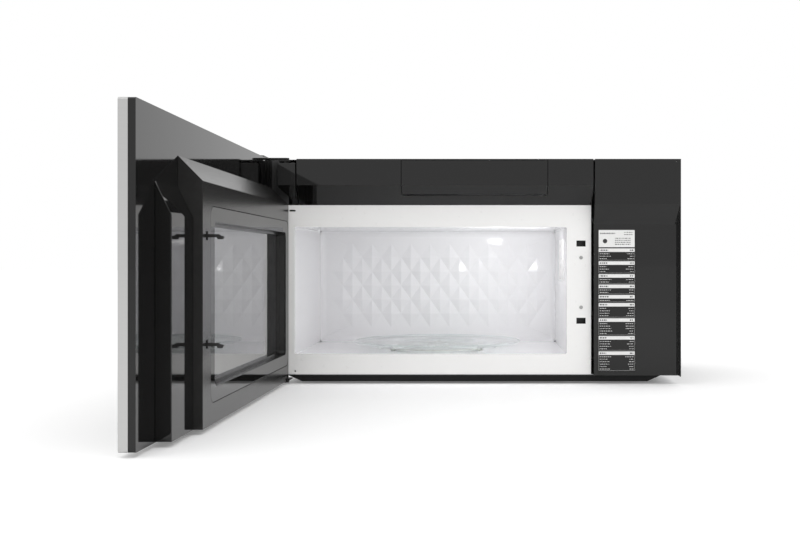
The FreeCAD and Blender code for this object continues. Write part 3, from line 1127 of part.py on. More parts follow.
def make_window():
    gap = 0.4
    ring = door_block(BEZEL_HINGE + gap, BEZEL_FREE - gap, CHOKE_DEPTH - REBATE, CHOKE_DEPTH - 0.2,
                      BEZEL_LOW + gap, BEZEL_HIGH - gap)
    ring = rounded(ring, BEZEL_RADIUS - gap, Y_AXIS)
    save_door("window_bezel", ring.cut(well_block(0, 0, CHOKE_DEPTH + 1)))
    lap = MOULD - 1.1
    seat = CHOKE_DEPTH - WINDOW_WELL
    save_door("inner_window_glass", well_block(lap, seat - WINDOW_GLASS, seat))
    save_door("perforated_screen", well_block(lap, seat - WINDOW_GLASS - SCREEN_SHEET, seat - WINDOW_GLASS))


def make_control_housing():
    u0 = CHOKE_END
    u1 = HOUSING_END
    low = DOOR_BOTTOM + 0.9
    profile = [(0, low), (HOUSING_DEPTH, low), (HOUSING_DEPTH, HOUSING_TOP_FRONT), (0, HOUSING_TOP_BACK)]
    body = door_prism(profile, u0 + 0.2, u1)
    wall = MOULD
    inner = [(-1, low + wall), (HOUSING_DEPTH - wall, low + wall),
             (HOUSING_DEPTH - wall, HOUSING_TOP_FRONT - 1.2), (-1, HOUSING_TOP_BACK - wall - 2.0)]
    body = body.cut(door_prism(inner, u0 + 0.2 + wall, u1 - wall))
    save_door("control_housing", body)
    u_mid = (u0 + u1) / 2.0
    board_back = HOUSING_DEPTH - wall
    board_front = board_back - 1.6
    half = HOUSING_WIDTH / 2.0 - 13.3
    board_high = HOUSING_TOP_FRONT - 34.1
    board = door_block(u_mid - half, u_mid + half, board_front, board_back, FRONT_LOW, board_high)
    chips = []
    for drop, tall in ((180.0, 40.0), (120.0, 24.0), (80.0, 52.0)):
        low = board_high - drop
        chips.append(door_block(u_mid - 16.0, u_mid + 16.0, board_front - 5.4, board_front,
                                low, low + tall))
    save_door("control_board", fuse_all([board] + chips))


def make_latch():
    v0 = LATCH_V
    left = LATCH_U - HOOK_WIDTH / 2.0
    right = LATCH_U + HOOK_WIDTH / 2.0
    bar = door_block(left, right, v0, v0 + 12.0, LATCH_LOW - 14, LATCH_HIGH + 12)
    pieces = [bar]
    for z in (LATCH_HIGH, LATCH_LOW):
        neck_end = CHOKE_DEPTH + HOOK_REACH - 7.0
        neck = door_block(left, right, v0, neck_end, z - 2.5, z + HOOK_RISE)
        tip_outline = [(neck_end - 3.0, z + HOOK_RISE), (CHOKE_DEPTH + HOOK_REACH, z - 1.5),
                       (CHOKE_DEPTH + HOOK_REACH - 2.0, z - HOOK_DROP), (neck_end - 2.0, z - HOOK_DROP),
                       (neck_end - 3.0, z - 2.0)]
        pieces += [neck, door_prism(tip_outline, left, right)]
    save_door("latch_bar", fuse_all(pieces))
    make_latch_spring(v0)


def latch_guides():
    v0 = LATCH_V
    guides = []
    for z in (LATCH_HIGH - 30.0, LATCH_LOW + 24.0):
        guide = door_block(LATCH_U - 9.0, LATCH_U + 9.0, v0 - 3.0, v0 + 15.0, z, z + 8.0)
        half = HOOK_WIDTH / 2.0 + RUN_GAP
        slot = door_block(LATCH_U - half, LATCH_U + half, v0 - RUN_GAP, v0 + 12.0 + RUN_GAP, z - 1, z + 9.0)
        leg = door_block(LATCH_U + 5.0, LATCH_U + 9.0, v0 + 15.0, CHOKE_DEPTH - MOULD - REBATE, z, z + 8.0)
        guides.append(guide.cut(slot).fuse(leg).removeSplitter())
    anchor = door_block(LATCH_U - 9.0, LATCH_U + 9.0, v0 - 3.0, v0 + 15.0,
                        LATCH_SPRING_TOP, LATCH_SPRING_TOP + 4.0)
    anchor_leg = door_block(LATCH_U + 5.0, LATCH_U + 9.0, v0 + 15.0, CHOKE_DEPTH - MOULD - REBATE,
                            LATCH_SPRING_TOP, LATCH_SPRING_TOP + 4.0)
    guides.append(anchor.fuse(anchor_leg).removeSplitter())
    return guides


def make_latch_spring(v0):
    z0 = LATCH_HIGH + 12.0
    height = LATCH_SPRING_TOP - z0
    turn = height / SPRING_TURNS
    helix = Part.makeHelix(turn, height - 2.4 * SPRING_WIRE, SPRING_RADIUS)
    lead = Vector(0, 1, turn / (2 * math.pi * SPRING_RADIUS))
    section = Part.Wire([Part.makeCircle(SPRING_WIRE, Vector(SPRING_RADIUS, 0, 0), lead)])
    coil = Part.Wire(helix).makePipeShell([section], True, False)
    coil.translate(Vector(LATCH_U - HALF, v0 + 6.0 - DOOR_GAP - BODY_DEPTH, z0 + 1.2 * SPRING_WIRE))
    save_door("latch_spring", coil)


def make_hinge_arms():
    reach = DOOR_GAP + SKIN_DEPTH + BACK_DEPTH - 2.0
    left = HINGE_X - ARM_HALF + 1.0
    foot_end = HINGE_X + ARM_FOOT
    arms = []
    for upper, z0 in ((True, ARM_TOP_Z), (False, DOOR_BOTTOM - ARM_SHEET)):
        arm = block(left, HINGE_X + ARM_HALF - 1.0, -reach, HINGE_F, z0, z0 + ARM_SHEET)
        arm = arm.fuse(rod_z(ARM_HALF - 1.0, z0, z0 + ARM_SHEET, HINGE_X, HINGE_F))
        foot = block(left, foot_end, -reach, -DOOR_GAP - 2.0, z0, z0 + ARM_SHEET)
        pieces = [arm, foot]
        if upper:
            pieces.append(block(left, foot_end, -reach, -DOOR_GAP - 2.0, BODY_HEIGHT, z0))
        arm = fuse_all(pieces)
        arm = arm.cut(rod_z(PIN_RADIUS + FIT, z0 - 1, z0 + ARM_SHEET + 1, HINGE_X, HINGE_F))
        arms.append(arm)
    save_door("hinge_arms", arms)
    screws = []
    for z0, up in ((ARM_TOP_Z + ARM_SHEET, 1), (DOOR_BOTTOM - ARM_SHEET, -1)):
        for x in (HINGE_X + 16.0, HINGE_X + 42.0):
            low = z0 if up > 0 else z0 - 1.4
            screws.append(rod_z(3.6, low, low + 1.4, x, -DOOR_GAP - 11.0))
    save_door("hinge_screws", screws)


make_casing()
make_rear()
make_wall_plate()
make_floor()
make_pan()
make_cavity()
make_plate_screws()
make_waveguide()
make_magnetron()
make_transformer()
make_capacitor()
make_cooling_fan()
make_power_board()
make_latch_board()
make_turntable()
make_cavity_lamp()
make_vent_grille()
make_filter_door()
make_charcoal_filter()
make_hinge_cover()
make_control_side()
make_blower()
make_exhaust()
make_grease_filters()
make_lamps()
make_cabinet_nuts()
make_hinge_brackets()
make_door_skin()
make_door_glass()
make_door_back_frame()
make_choke_frame()
make_window()
make_control_housing()
make_latch()
make_hinge_arms()
print("nodes:", len(os.listdir("parts")))
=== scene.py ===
"""Over-the-range microwave: finishes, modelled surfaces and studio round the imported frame."""
import json
import math
import random

import bmesh
import bpy
from bpy.props import FloatProperty, FloatVectorProperty, IntProperty, PointerProperty
from mathutils import Matrix, Vector


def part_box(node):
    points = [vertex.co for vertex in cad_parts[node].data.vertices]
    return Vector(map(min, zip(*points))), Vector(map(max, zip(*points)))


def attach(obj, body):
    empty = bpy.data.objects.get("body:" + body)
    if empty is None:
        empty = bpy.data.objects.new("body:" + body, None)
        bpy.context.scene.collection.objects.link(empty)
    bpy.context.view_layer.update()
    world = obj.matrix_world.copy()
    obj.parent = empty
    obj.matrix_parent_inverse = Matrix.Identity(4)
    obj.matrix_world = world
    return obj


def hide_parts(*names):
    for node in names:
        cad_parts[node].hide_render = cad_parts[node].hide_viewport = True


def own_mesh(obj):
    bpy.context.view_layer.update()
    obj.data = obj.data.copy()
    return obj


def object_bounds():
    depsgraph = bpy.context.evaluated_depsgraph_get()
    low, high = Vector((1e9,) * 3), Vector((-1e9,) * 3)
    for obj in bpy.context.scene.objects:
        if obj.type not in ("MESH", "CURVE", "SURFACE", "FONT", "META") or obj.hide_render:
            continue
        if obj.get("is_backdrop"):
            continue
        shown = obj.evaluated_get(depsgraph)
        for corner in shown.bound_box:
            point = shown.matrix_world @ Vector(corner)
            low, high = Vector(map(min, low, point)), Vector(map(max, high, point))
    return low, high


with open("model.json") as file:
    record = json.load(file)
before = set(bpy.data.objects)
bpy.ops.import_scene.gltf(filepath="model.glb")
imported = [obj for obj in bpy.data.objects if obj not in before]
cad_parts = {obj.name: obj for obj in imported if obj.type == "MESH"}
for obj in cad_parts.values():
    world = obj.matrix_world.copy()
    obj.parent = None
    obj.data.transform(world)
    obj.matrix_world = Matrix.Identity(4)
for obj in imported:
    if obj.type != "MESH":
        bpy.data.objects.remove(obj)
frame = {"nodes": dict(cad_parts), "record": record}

bl_info = {
    "name": "Over-the-range microwave",
    "version": (1, 0, 0),
    "blender": (4, 5, 0),
    "location": "3D Viewport > Sidebar > Microwave",
    "description": "Dresses the microwave's frame with its finishes, reliefs, glass and print",
    "category": "Object",
}

MERGE_DISTANCE = 2e-6  # points nearer than this are one point
COPLANAR_DEGREES = 0.4  # faces that meet flatter than this are one face
SHADED_SHARP_DEGREES = 35.0  # edges that turn more than this aren't shaded smooth
NOISE_LOW, NOISE_HIGH = 0.3, 0.7  # most values of a noise lie between these two


# ---------------------------------------------------------------- settings
COLOUR = {"subtype": "COLOR", "size": 3, "min": 0, "max": 1}


class FinishSettings(bpy.types.PropertyGroup):
    """Colours and glosses of the microwave's finishes."""

    gloss_black: FloatVectorProperty(
        name="Polished black", description="Body colour of the polished front mouldings",
        **COLOUR, default=(0.0030, 0.0029, 0.0028))
    satin_black: FloatVectorProperty(
        name="Satin black", description="Body colour of the moulded choke block and latch housing",
        **COLOUR, default=(0.016, 0.0155, 0.015))
    casing_black: FloatVectorProperty(
        name="Casing paint", description="Baked paint of the steel casing and the pan below it",
        **COLOUR, default=(0.014, 0.014, 0.0145))
    front_white: FloatVectorProperty(
        name="Front plate paint", description="Paint of the plate round the oven's mouth",
        **COLOUR, default=(0.90, 0.895, 0.885))
    oven_white: FloatVectorProperty(
        name="Oven paint", description="Paint inside the oven",
        **COLOUR, default=(0.86, 0.855, 0.87))
    steel: FloatVectorProperty(
        name="Stainless steel", description="Colour of the brushed door front",
        **COLOUR, default=(0.52, 0.52, 0.515))
    ink: FloatVectorProperty(
        name="Printed white", description="Ink of the cooking guide's white bars and dashes",
        **COLOUR, default=(0.82, 0.82, 0.81))
    gloss_roughness: FloatProperty(
        name="Polish roughness", description="Roughness of the polished black mouldings",
        subtype="FACTOR", min=0, max=1, default=0.035)
    satin_roughness: FloatProperty(
        name="Satin roughness", description="Roughness of the satin black mouldings",
        subtype="FACTOR", min=0, max=1, default=0.22)
    edge_radius: FloatProperty(
        name="Edge radius", description="Small round on the edges of moulded and pressed pieces",
        unit="LENGTH", min=0, max=0.003, precision=5, default=0.0007)


class RearWallSettings(bpy.types.PropertyGroup):
    """The faceted field pressed into the oven's rear wall."""

    columns: IntProperty(
        name="Columns", description="Facet columns, each half a star wide",
        min=2, max=60, default=22)
    rows: IntProperty(name="Rows", description="Facet rows", min=2, max=30, default=6)
    relief: FloatProperty(
        name="Relief", description="Height of the facets' peaks over the wall",
        unit="LENGTH", min=0, max=0.006, precision=5, default=0.0030)
    cove: FloatProperty(
        name="Cove", description="Radius between the rear wall and the oven's sides",
        unit="LENGTH", min=0.002, max=0.03, precision=4, default=0.013)


class GlassSettings(bpy.types.PropertyGroup):
    """Turntable tray and door window."""

    tray_tint: FloatVectorProperty(
        name="Tray tint", description="Tint of the tray's glass",
        **COLOUR, default=(0.86, 0.96, 0.935))
    rim_bead: FloatProperty(
        name="Rim bead", description="Radius of the bead on the tray's rim",
        unit="LENGTH", min=0.0005, max=0.004, precision=4, default=0.0016)
    hole_pitch: FloatProperty(
        name="Screen pitch", description="Spacing of the holes in the window's screen",
        unit="LENGTH", min=0.0008, max=0.005, precision=5, default=0.0019)


class StudioSettings(bpy.types.PropertyGroup):
    """Floor, light and camera."""

    surround: FloatProperty(
        name="Surround", description="Brightness of the white surround", min=0, max=5, default=1.0)
    paper_glow: FloatProperty(
        name="Paper glow",
        description="Light that the floor paper gives off by itself, so it reads as white",
        min=0, max=2, default=0.16)
    key: FloatProperty(
        name="Key light", description="Power of the large soft light over the front",
        unit="POWER", min=0, max=500, default=9.0)
    sparkle: FloatProperty(
        name="Sparkle light", description="Power of the small light that shines into the oven",
        unit="POWER", min=0, max=50, default=0.03)
    oven_light: FloatProperty(
        name="Oven light", description="Power of the soft light just inside the oven's mouth",
        unit="POWER", min=0, max=50, default=0.62)
    floor_gap: FloatProperty(
        name="Floor gap", description="Gap between the floor and the lowest piece",
        unit="LENGTH", min=0, max=0.1, precision=4, default=0.002)


# ---------------------------------------------------------------- finishes
class Finish:
    """One finish, patterned on the piece's own object coordinates."""

    def __init__(self, name, colour, roughness, metallic=0.0, ior=1.5):
        self.material = bpy.data.materials.new(name)
        self.material.use_nodes = True
        self.nodes = self.material.node_tree.nodes
        self.links = self.material.node_tree.links
        self.shader = self.nodes["Principled BSDF"]
        self.set("Base Color", (*colour, 1.0))
        self.set("Roughness", roughness)
        self.set("Metallic", metallic)
        self.set("IOR", ior)
        self.colour = tuple(colour)
        self.place = self.add("ShaderNodeTexCoord").outputs["Object"]
        self.normal = None

    def set(self, socket, value):
        self.shader.inputs[socket].default_value = value
        return self

    def add(self, kind, **settings):
        node = self.nodes.new(kind)
        for key, value in settings.items():
            setattr(node, key, value)
        return node

    def wire(self, output, node_input):
        self.links.new(output, node_input)

    def stretched(self, stretch):
        """Object coordinates scaled differently along each axis."""
        mapping = self.add("ShaderNodeMapping")
        mapping.inputs["Scale"].default_value = stretch
        self.wire(self.place, mapping.inputs["Vector"])
        return mapping.outputs["Vector"]

    def noise(self, scale, detail=2.0, stretch=None, rough=0.5):
        node = self.add("ShaderNodeTexNoise")
        node.inputs["Scale"].default_value = scale
        node.inputs["Detail"].default_value = detail
        node.inputs["Roughness"].default_value = rough
        self.wire(self.stretched(stretch) if stretch else self.place, node.inputs["Vector"])
        return node.outputs["Fac"]

    def cells(self, scale, feature="F1", output="Distance"):
        node = self.add("ShaderNodeTexVoronoi", feature=feature)
        node.inputs["Scale"].default_value = scale
        self.wire(self.place, node.inputs["Vector"])
        return node.outputs[output]

    def map(self, value, from_low, from_high, to_low, to_high):
        node = self.add("ShaderNodeMapRange")
        for socket, number in (("From Min", from_low), ("From Max", from_high),
                               ("To Min", to_low), ("To Max", to_high)):
            node.inputs[socket].default_value = number
        self.wire(value, node.inputs["Value"])
        return node.outputs["Result"]

    def math(self, operation, first, second=None):
        node = self.add("ShaderNodeMath", operation=operation)
        for socket, value in zip(node.inputs, (first, second)):
            if value is None:
                continue
            if isinstance(value, (int, float)):
                socket.default_value = value
            else:
                self.wire(value, socket)
        return node.outputs["Value"]

    def axes(self):
        node = self.add("ShaderNodeSeparateXYZ")
        self.wire(self.place, node.inputs["Vector"])
        return node.outputs["X"], node.outputs["Y"], node.outputs["Z"]

    def mottle(self, value, shade, low=NOISE_LOW, high=NOISE_HIGH):
        """Varies the body colour between itself and itself times shade."""
        ramp = self.add("ShaderNodeValToRGB")
        ramp.color_ramp.elements[0].position = low
        ramp.color_ramp.elements[1].position = high
        ramp.color_ramp.elements[0].color = (*[c * shade for c in self.colour], 1.0)
        ramp.color_ramp.elements[1].color = (*self.colour, 1.0)
        self.wire(value, ramp.inputs["Fac"])
        self.wire(ramp.outputs["Color"], self.shader.inputs["Base Color"])
        return self

    def gloss(self, value, low, high):
        """Varies roughness between two values."""
        spread = self.map(value, NOISE_LOW, NOISE_HIGH, low, high)
        self.wire(spread, self.shader.inputs["Roughness"])
        return self

    def relief(self, value, depth):
        """Adds fine relief of a real depth, in metres."""
        bump = self.add("ShaderNodeBump")
        bump.inputs["Strength"].default_value = 1.0
        bump.inputs["Distance"].default_value = depth
        self.wire(value, bump.inputs["Height"])
        if self.normal is not None:
            self.wire(self.normal, bump.inputs["Normal"])
        self.normal = bump.outputs["Normal"]
        self.wire(self.normal, self.shader.inputs["Normal"])
        return self


def settings():
    return bpy.context.scene.microwave_finish


def polished_black():
    s = settings()
    f = Finish("polished_black", s.gloss_black, s.gloss_roughness, ior=1.46)
    f.gloss(f.noise(6.0, 3.0), s.gloss_roughness * 0.6, s.gloss_roughness * 1.8)
    f.mottle(f.noise(180.0, 2.0), 0.8)
    return f.relief(f.noise(9.0, 1.0), 0.00012)


def satin_black():
    s = settings()
    f = Finish("satin_black", s.satin_black, s.satin_roughness, ior=1.45)
    f.gloss(f.noise(220.0, 3.0), s.satin_roughness * 0.94, s.satin_roughness * 1.06)
    f.mottle(f.noise(160.0, 3.0), 0.85)
    return f.relief(f.noise(2600.0, 2.0), 0.00002)


def casing_paint():
    s = settings()
    f = Finish("casing_paint", s.casing_black, 0.38)
    f.gloss(f.noise(160.0, 3.0), 0.37, 0.40)
    f.mottle(f.noise(160.0, 3.0), 0.93)
    return f.relief(f.noise(900.0, 2.0), 0.00004)


def pan_paint():
    s = settings()
    f = Finish("pan_paint", [c * 0.45 for c in s.casing_black], 0.5)
    f.set("Specular IOR Level", 0.2)
    f.gloss(f.noise(60.0, 4.0), 0.45, 0.55)
    f.mottle(f.noise(90.0, 3.0), 0.85)
    return f.relief(f.noise(900.0, 2.0), 0.00003)


def enamel(name, colour, roughness, low, high, shade, ripple, depth):
    """Glossy paint, its roughness between low and high, with a fine ripple."""
    f = Finish(name, colour, roughness)
    f.gloss(f.noise(90.0, 3.0), low, high)
    f.mottle(f.noise(120.0, 3.0), shade)
    return f.relief(f.noise(ripple, 2.0), depth)


def front_enamel():
    return enamel("front_enamel", settings().front_white, 0.3, 0.27, 0.33, 0.992, 700.0, 0.00002)


def cavity_enamel():
    return enamel("cavity_enamel", settings().oven_white, 0.08, 0.06, 0.10, 0.99, 420.0, 0.00003)


def galvanised():
    f = Finish("galvanised", (0.55, 0.56, 0.57), 0.38, metallic=1.0)
    spangle = f.cells(150.0, output="Color")
    f.mottle(spangle, 0.78, low=0.1, high=0.9)
    f.gloss(spangle, 0.28, 0.5)
    return f.relief(f.noise(300.0, 3.0), 0.00002)


def brushed(name, colour, roughness, stretch, metallic=1.0, shade=0.86):
    f = Finish(name, colour, roughness, metallic=metallic)
    grain = f.noise(1.0, 6.0, stretch=stretch, rough=0.62)
    f.mottle(grain, shade)
    f.gloss(grain, roughness * 0.9, roughness * 1.12)
    f.set("Anisotropic", 0.4)
    return f.relief(grain, 0.000012)


def stainless():
    return brushed("stainless", settings().steel, 0.34, (5.0, 5.0, 2600.0), shade=0.94)


def dark_glass():
    f = Finish("dark_glass", (0.004, 0.004, 0.0045), 0.02, ior=1.52)
    f.gloss(f.noise(11.0, 2.0), 0.012, 0.03)
    f.mottle(f.noise(35.0), 0.8)
    return f.relief(f.noise(5.0, 1.0), 0.00006)


def window_glass():
    f = Finish("window_glass", (0.86, 0.865, 0.87), 0.0, ior=1.52)
    f.set("Transmission Weight", 1.0)
    f.set("Coat Weight", 1.0)
    f.set("Coat Roughness", 0.02)
    f.set("Coat IOR", 1.7)
    f.gloss(f.noise(9.0, 2.0), 0.0, 0.02)
    return f.relief(f.noise(5.0, 1.0), 0.00008)


def tray_glass():
    g = bpy.context.scene.microwave_glass
    f = Finish("tray_glass", g.tray_tint, 0.0, ior=1.45)
    f.set("Transmission Weight", 1.0)
    f.set("Alpha", 0.5)
    f.gloss(f.noise(30.0, 2.0), 0.0, 0.03)
    return f.relief(f.noise(14.0, 2.0), 0.00004)


def perforated_screen():
    """Grey sheet whose round holes lie where the sum of two crossed waves is high."""
    pitch = bpy.context.scene.microwave_glass.hole_pitch
    sheet_below, hole_above = 0.55, 0.75
    f = Finish("perforated_screen", (0.22, 0.22, 0.22), 0.35)
    _, y, z = f.axes()
    turn = 2.0 * math.pi / pitch
    waves = [f.math("COSINE", f.math("MULTIPLY", axis, turn)) for axis in (y, z)]
    height = f.math("ADD", *waves)
    f.wire(f.map(height, sheet_below, hole_above, 1.0, 0.0), f.shader.inputs["Alpha"])
    f.gloss(f.noise(60.0), 0.3, 0.45)
    return f.mottle(f.noise(90.0), 0.8)


def plain_metal(name, colour, roughness, scale=120.0, depth=0.00003):
    f = Finish(name, colour, roughness, metallic=1.0)
    f.mottle(f.noise(scale, 4.0), 0.8)
    f.gloss(f.noise(scale * 0.4, 3.0), roughness * 0.75, roughness * 1.3)
    return f.relief(f.noise(scale * 4.0, 3.0), depth)


def plain_plastic(name, colour, roughness, depth=0.00003):
    f = Finish(name, colour, roughness)
    f.mottle(f.noise(45.0, 3.0), 0.9)
    f.gloss(f.noise(30.0, 3.0), roughness * 0.85, roughness * 1.2)
    return f.relief(f.noise(1800.0, 2.0), depth)


def screw_steel():
    return plain_metal("screw_steel", (0.42, 0.42, 0.41), 0.32, 400.0, 0.00002)


def hinge_steel():
    f = Finish("hinge_steel", (0.02, 0.02, 0.02), 0.3, metallic=0.6)
    f.gloss(f.noise(80.0, 3.0), 0.24, 0.4)
    return f.mottle(f.noise(200.0, 3.0), 0.7)


def core_steel():
    f = Finish("core_steel", (0.2, 0.19, 0.18), 0.5, metallic=0.8)
    sheets = f.noise(1.0, 2.0, stretch=(2200.0, 4.0, 4.0))
    f.mottle(sheets, 0.5, low=0.4, high=0.6)
    return f.relief(sheets, 0.0001)


def copper():
    """Windings, one ridge to each turn of the wire."""
    wire_pitch = 0.0016
    f = Finish("copper", (0.62, 0.26, 0.11), 0.3, metallic=1.0)
    _, _, z = f.axes()
    turns = f.math("ABSOLUTE", f.math("SINE", f.math("MULTIPLY", z, 2 * math.pi / wire_pitch)))
    f.mottle(turns, 0.35, low=0.05, high=0.6)
    return f.relief(turns, 0.0004)


def board():
    f = Finish("board", (0.03, 0.14, 0.06), 0.4)
    tracks = f.cells(260.0, feature="DISTANCE_TO_EDGE")
    f.mottle(tracks, 1.6, low=0.02, high=0.06)
    return f.relief(tracks, 0.00004)


def charcoal():
    f = Finish("charcoal", (0.02, 0.02, 0.021), 0.85)
    grains = f.cells(420.0)
    f.mottle(grains, 0.4, low=0.1, high=0.7)
    return f.relief(grains, 0.0012)


def grease_mesh():
    f = Finish("grease_mesh", (0.5, 0.5, 0.5), 0.35, metallic=1.0)
    strands = f.cells(330.0, feature="DISTANCE_TO_EDGE")
    f.mottle(strands, 0.35, low=0.05, high=0.3)
    f.gloss(f.noise(50.0), 0.28, 0.45)
    return f.relief(strands, 0.0004)


def lens():
    """Frosted ribbed cover of the cooktop lamps."""
    rib_pitch = 0.003
    f = Finish("lens", (0.86, 0.87, 0.86), 0.25, ior=1.45)
    f.set("Transmission Weight", 0.75)
    x, _, _ = f.axes()
    ribs = f.math("ABSOLUTE", f.math("SINE", f.math("MULTIPLY", x, math.pi / rib_pitch)))
    f.gloss(f.noise(120.0), 0.2, 0.35)
    return f.relief(ribs, 0.0004)


def guide_film():
    f = polished_black()
    f.material.name = "guide_film"
    return f.set("IOR", 1.44)


def print_ink(name, colour, roughness, shade):
    f = Finish(name, colour, roughness)
    f.mottle(f.noise(900.0, 3.0), shade)
    return f.relief(f.noise(2400.0, 2.0), 0.00001)


SLOT_FINISH = {
    "casing_paint": casing_paint, "pan_paint": pan_paint, "galvanised": galvanised,
    "cavity_enamel": cavity_enamel, "front_enamel": front_enamel,
    "black_gloss": polished_black, "black_satin": satin_black, "stainless": stainless,
    "dark_glass": dark_glass, "window_glass": window_glass, "tray_glass": tray_glass,
    "screen": perforated_screen, "screw_steel": screw_steel, "hinge_steel": hinge_steel,
    "core_steel": core_steel, "copper": copper, "board": board, "charcoal": charcoal,
    "grease_mesh": grease_mesh, "lens": lens, "guide_print": guide_film,
    "printed_white": lambda: print_ink("printed_white", settings().ink, 0.35, 0.93),
    "printed_dark": lambda: print_ink("printed_dark", (0.02, 0.02, 0.02), 0.4, 0.8),
    "white_plastic": lambda: plain_plastic("white_plastic", (0.78, 0.78, 0.76), 0.4),
    "fan_plastic": lambda: plain_plastic("fan_plastic", (0.05, 0.05, 0.052), 0.45),
    "mica": lambda: plain_plastic("mica", (0.80, 0.795, 0.785), 0.3, 0.00004),
    "grommet": lambda: plain_plastic("grommet", (0.02, 0.02, 0.02), 0.6),
    "magnetron_metal": lambda: plain_metal("magnetron_metal", (0.66, 0.66, 0.64), 0.34),
    "capacitor_can": lambda: plain_metal("capacitor_can", (0.7, 0.7, 0.7), 0.28),
    "lamp_metal": lambda: plain_metal("lamp_metal", (0.72, 0.72, 0.7), 0.25),
    "motor_metal": lambda: plain_metal("motor_metal", (0.5, 0.5, 0.49), 0.36),
    "spring_steel": lambda: plain_metal("spring_steel", (0.6, 0.6, 0.6), 0.25),
}
made_finishes = {}


def finish_of(slot):
    """The material of a record slot, made once."""
    if slot not in made_finishes:
        made_finishes[slot] = SLOT_FINISH[slot]().material
    return made_finishes[slot]


def node_slot(node):
    for part in frame["record"]["subparts"]:
        if part["node"] == node:
            return part["material_slot"]
    raise KeyError(node)


def body_of_node(node):
    for body, members in frame["record"]["behaviour"]["bodies"].items():
        if node in members:
            return body
    raise KeyError(node)


def dress(*nodes):
    """Gives carried-over nodes the finish of their slot."""
    for node in nodes:
        for socket in frame["nodes"][node].material_slots:
            socket.material = finish_of(node_slot(node))


# ---------------------------------------------------------------- mesh helpers
def slab(shape, low, high):
    """Adds a box between two corners."""
    low, high = Vector(low), Vector(high)
    place = Matrix.Translation((low + high) / 2) @ Matrix.Diagonal((*(high - low), 1.0))
    return bmesh.ops.create_cube(shape, size=1.0, matrix=place)["verts"]


def sharp_edges(shape, degrees):
    limit = math.radians(degrees)
    return [e for e in shape.edges if e.is_manifold and e.calc_face_angle(0.0) > limit]


def bevel(shape, geometry, offset, segments, affect="EDGES"):
    bmesh.ops.bevel(shape, geom=geometry, offset=offset, offset_type="OFFSET", affect=affect,
                    segments=segments, profile=0.5, clamp_overlap=True, material=-1)


def round_edges(shape, radius, segments=2, degrees=28.0):
    edges = sharp_edges(shape, degrees)
    if edges:
        bevel(shape, edges, radius, segments)


def placed(name, data):
    """A new object in the scene."""
    made = bpy.data.objects.new(name, data)
    bpy.context.scene.collection.objects.link(made)
    return made


def piece(name, shape, slot, body, stands_for=(), place=None, smooth=True):
    """Makes a finished piece from a bmesh, riding on a body."""
    mesh = bpy.data.meshes.new(name)
    if place is not None:
        bmesh.ops.transform(shape, matrix=place, verts=shape.verts)
    if smooth:
        for face in shape.faces:
            face.smooth = True
        for edge in sharp_edges(shape, SHADED_SHARP_DEGREES):
            edge.smooth = False
    shape.to_mesh(mesh)
    shape.free()
    made = placed(name, mesh)
    mesh.materials.append(finish_of(slot))
    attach(made, body)
    if stands_for:
        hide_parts(*stands_for)
    return made


def even_normals(made):
    """Keeps large flat faces flat beside their rounded edges."""
    modifier = made.modifiers.new("even_normals", "WEIGHTED_NORMAL")
    modifier.keep_sharp = True
    modifier.weight = 100
    return made


def soften(node, radius=None, segments=2):
    """A merged copy of a CAD node with rounded edges, standing for it."""
    if radius is None:
        radius = settings().edge_radius
    shape = bmesh.new()
    shape.from_mesh(frame["nodes"][node].data)
    bmesh.ops.remove_doubles(shape, verts=shape.verts, dist=MERGE_DISTANCE)
    bmesh.ops.dissolve_limit(shape, angle_limit=math.radians(COPLANAR_DEGREES),
                             verts=shape.verts, edges=shape.edges)
    round_edges(shape, radius, segments)
    made = piece(node + "_finished", shape, node_slot(node), body_of_node(node), (node,))
    return even_normals(made)


# ---------------------------------------------------------------- operators
class MICROWAVE_OT_casing(bpy.types.Operator):
    """Finish the steel casing, rear panel, floor, wall plate and pan"""

    bl_idname = "microwave.casing"
    bl_label = "Casing"

    def execute(self, context):
        dress("outer_wrap", "rear_panel", "base_plate", "bottom_pan", "wall_mounting_plate",
              "cord_grommet", "exhaust_adapter", "exhaust_damper")
        return {"FINISHED"}


class MICROWAVE_OT_works(bpy.types.Operator):
    """Finish the machinery inside the casing"""

    bl_idname = "microwave.works"
    bl_label = "Works"

    def execute(self, context):
        dress("waveguide", "waveguide_cover", "magnetron", "transformer_core", "transformer_coils",
              "high_voltage_capacitor", "cooling_fan_motor", "cooling_fan", "power_board",
              "latch_board", "door_switches", "turntable_motor", "turntable_coupler",
              "cavity_lamp", "charcoal_filter", "blower_wheels", "blower_motor",
              "blower_housings", "control_board")
        self.latch_spring()
        return {"FINISHED"}

    def latch_spring(self):
        """The latch's coil, fixed at its upper end, as one merged piece riding on the door."""
        shape = bmesh.new()
        shape.from_mesh(frame["nodes"]["latch_spring"].data)
        bmesh.ops.remove_doubles(shape, verts=shape.verts, dist=MERGE_DISTANCE)
        made = piece("latch_coil", shape, "spring_steel", "door", ("latch_spring",))
        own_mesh(made)


class MICROWAVE_OT_fasteners(bpy.types.Operator):
    """Finish the screws, nuts, hinge brackets and arms"""

    bl_idname = "microwave.fasteners"
    bl_label = "Fasteners and hinges"

    def execute(self, context):
        dress("plate_screws", "hinge_screws", "hinge_brackets", "hinge_arms", "cabinet_bolt_nuts",
              "latch_bar")
        return {"FINISHED"}


class MICROWAVE_OT_front_trims(bpy.types.Operator):
    """Finish the polished black mouldings of the front"""

    bl_idname = "microwave.front_trims"
    bl_label = "Front trims"

    def execute(self, context):
        for node in ("vent_grille", "charcoal_filter_door", "hinge_cover", "control_side_panel"):
            soften(node)
        return {"FINISHED"}


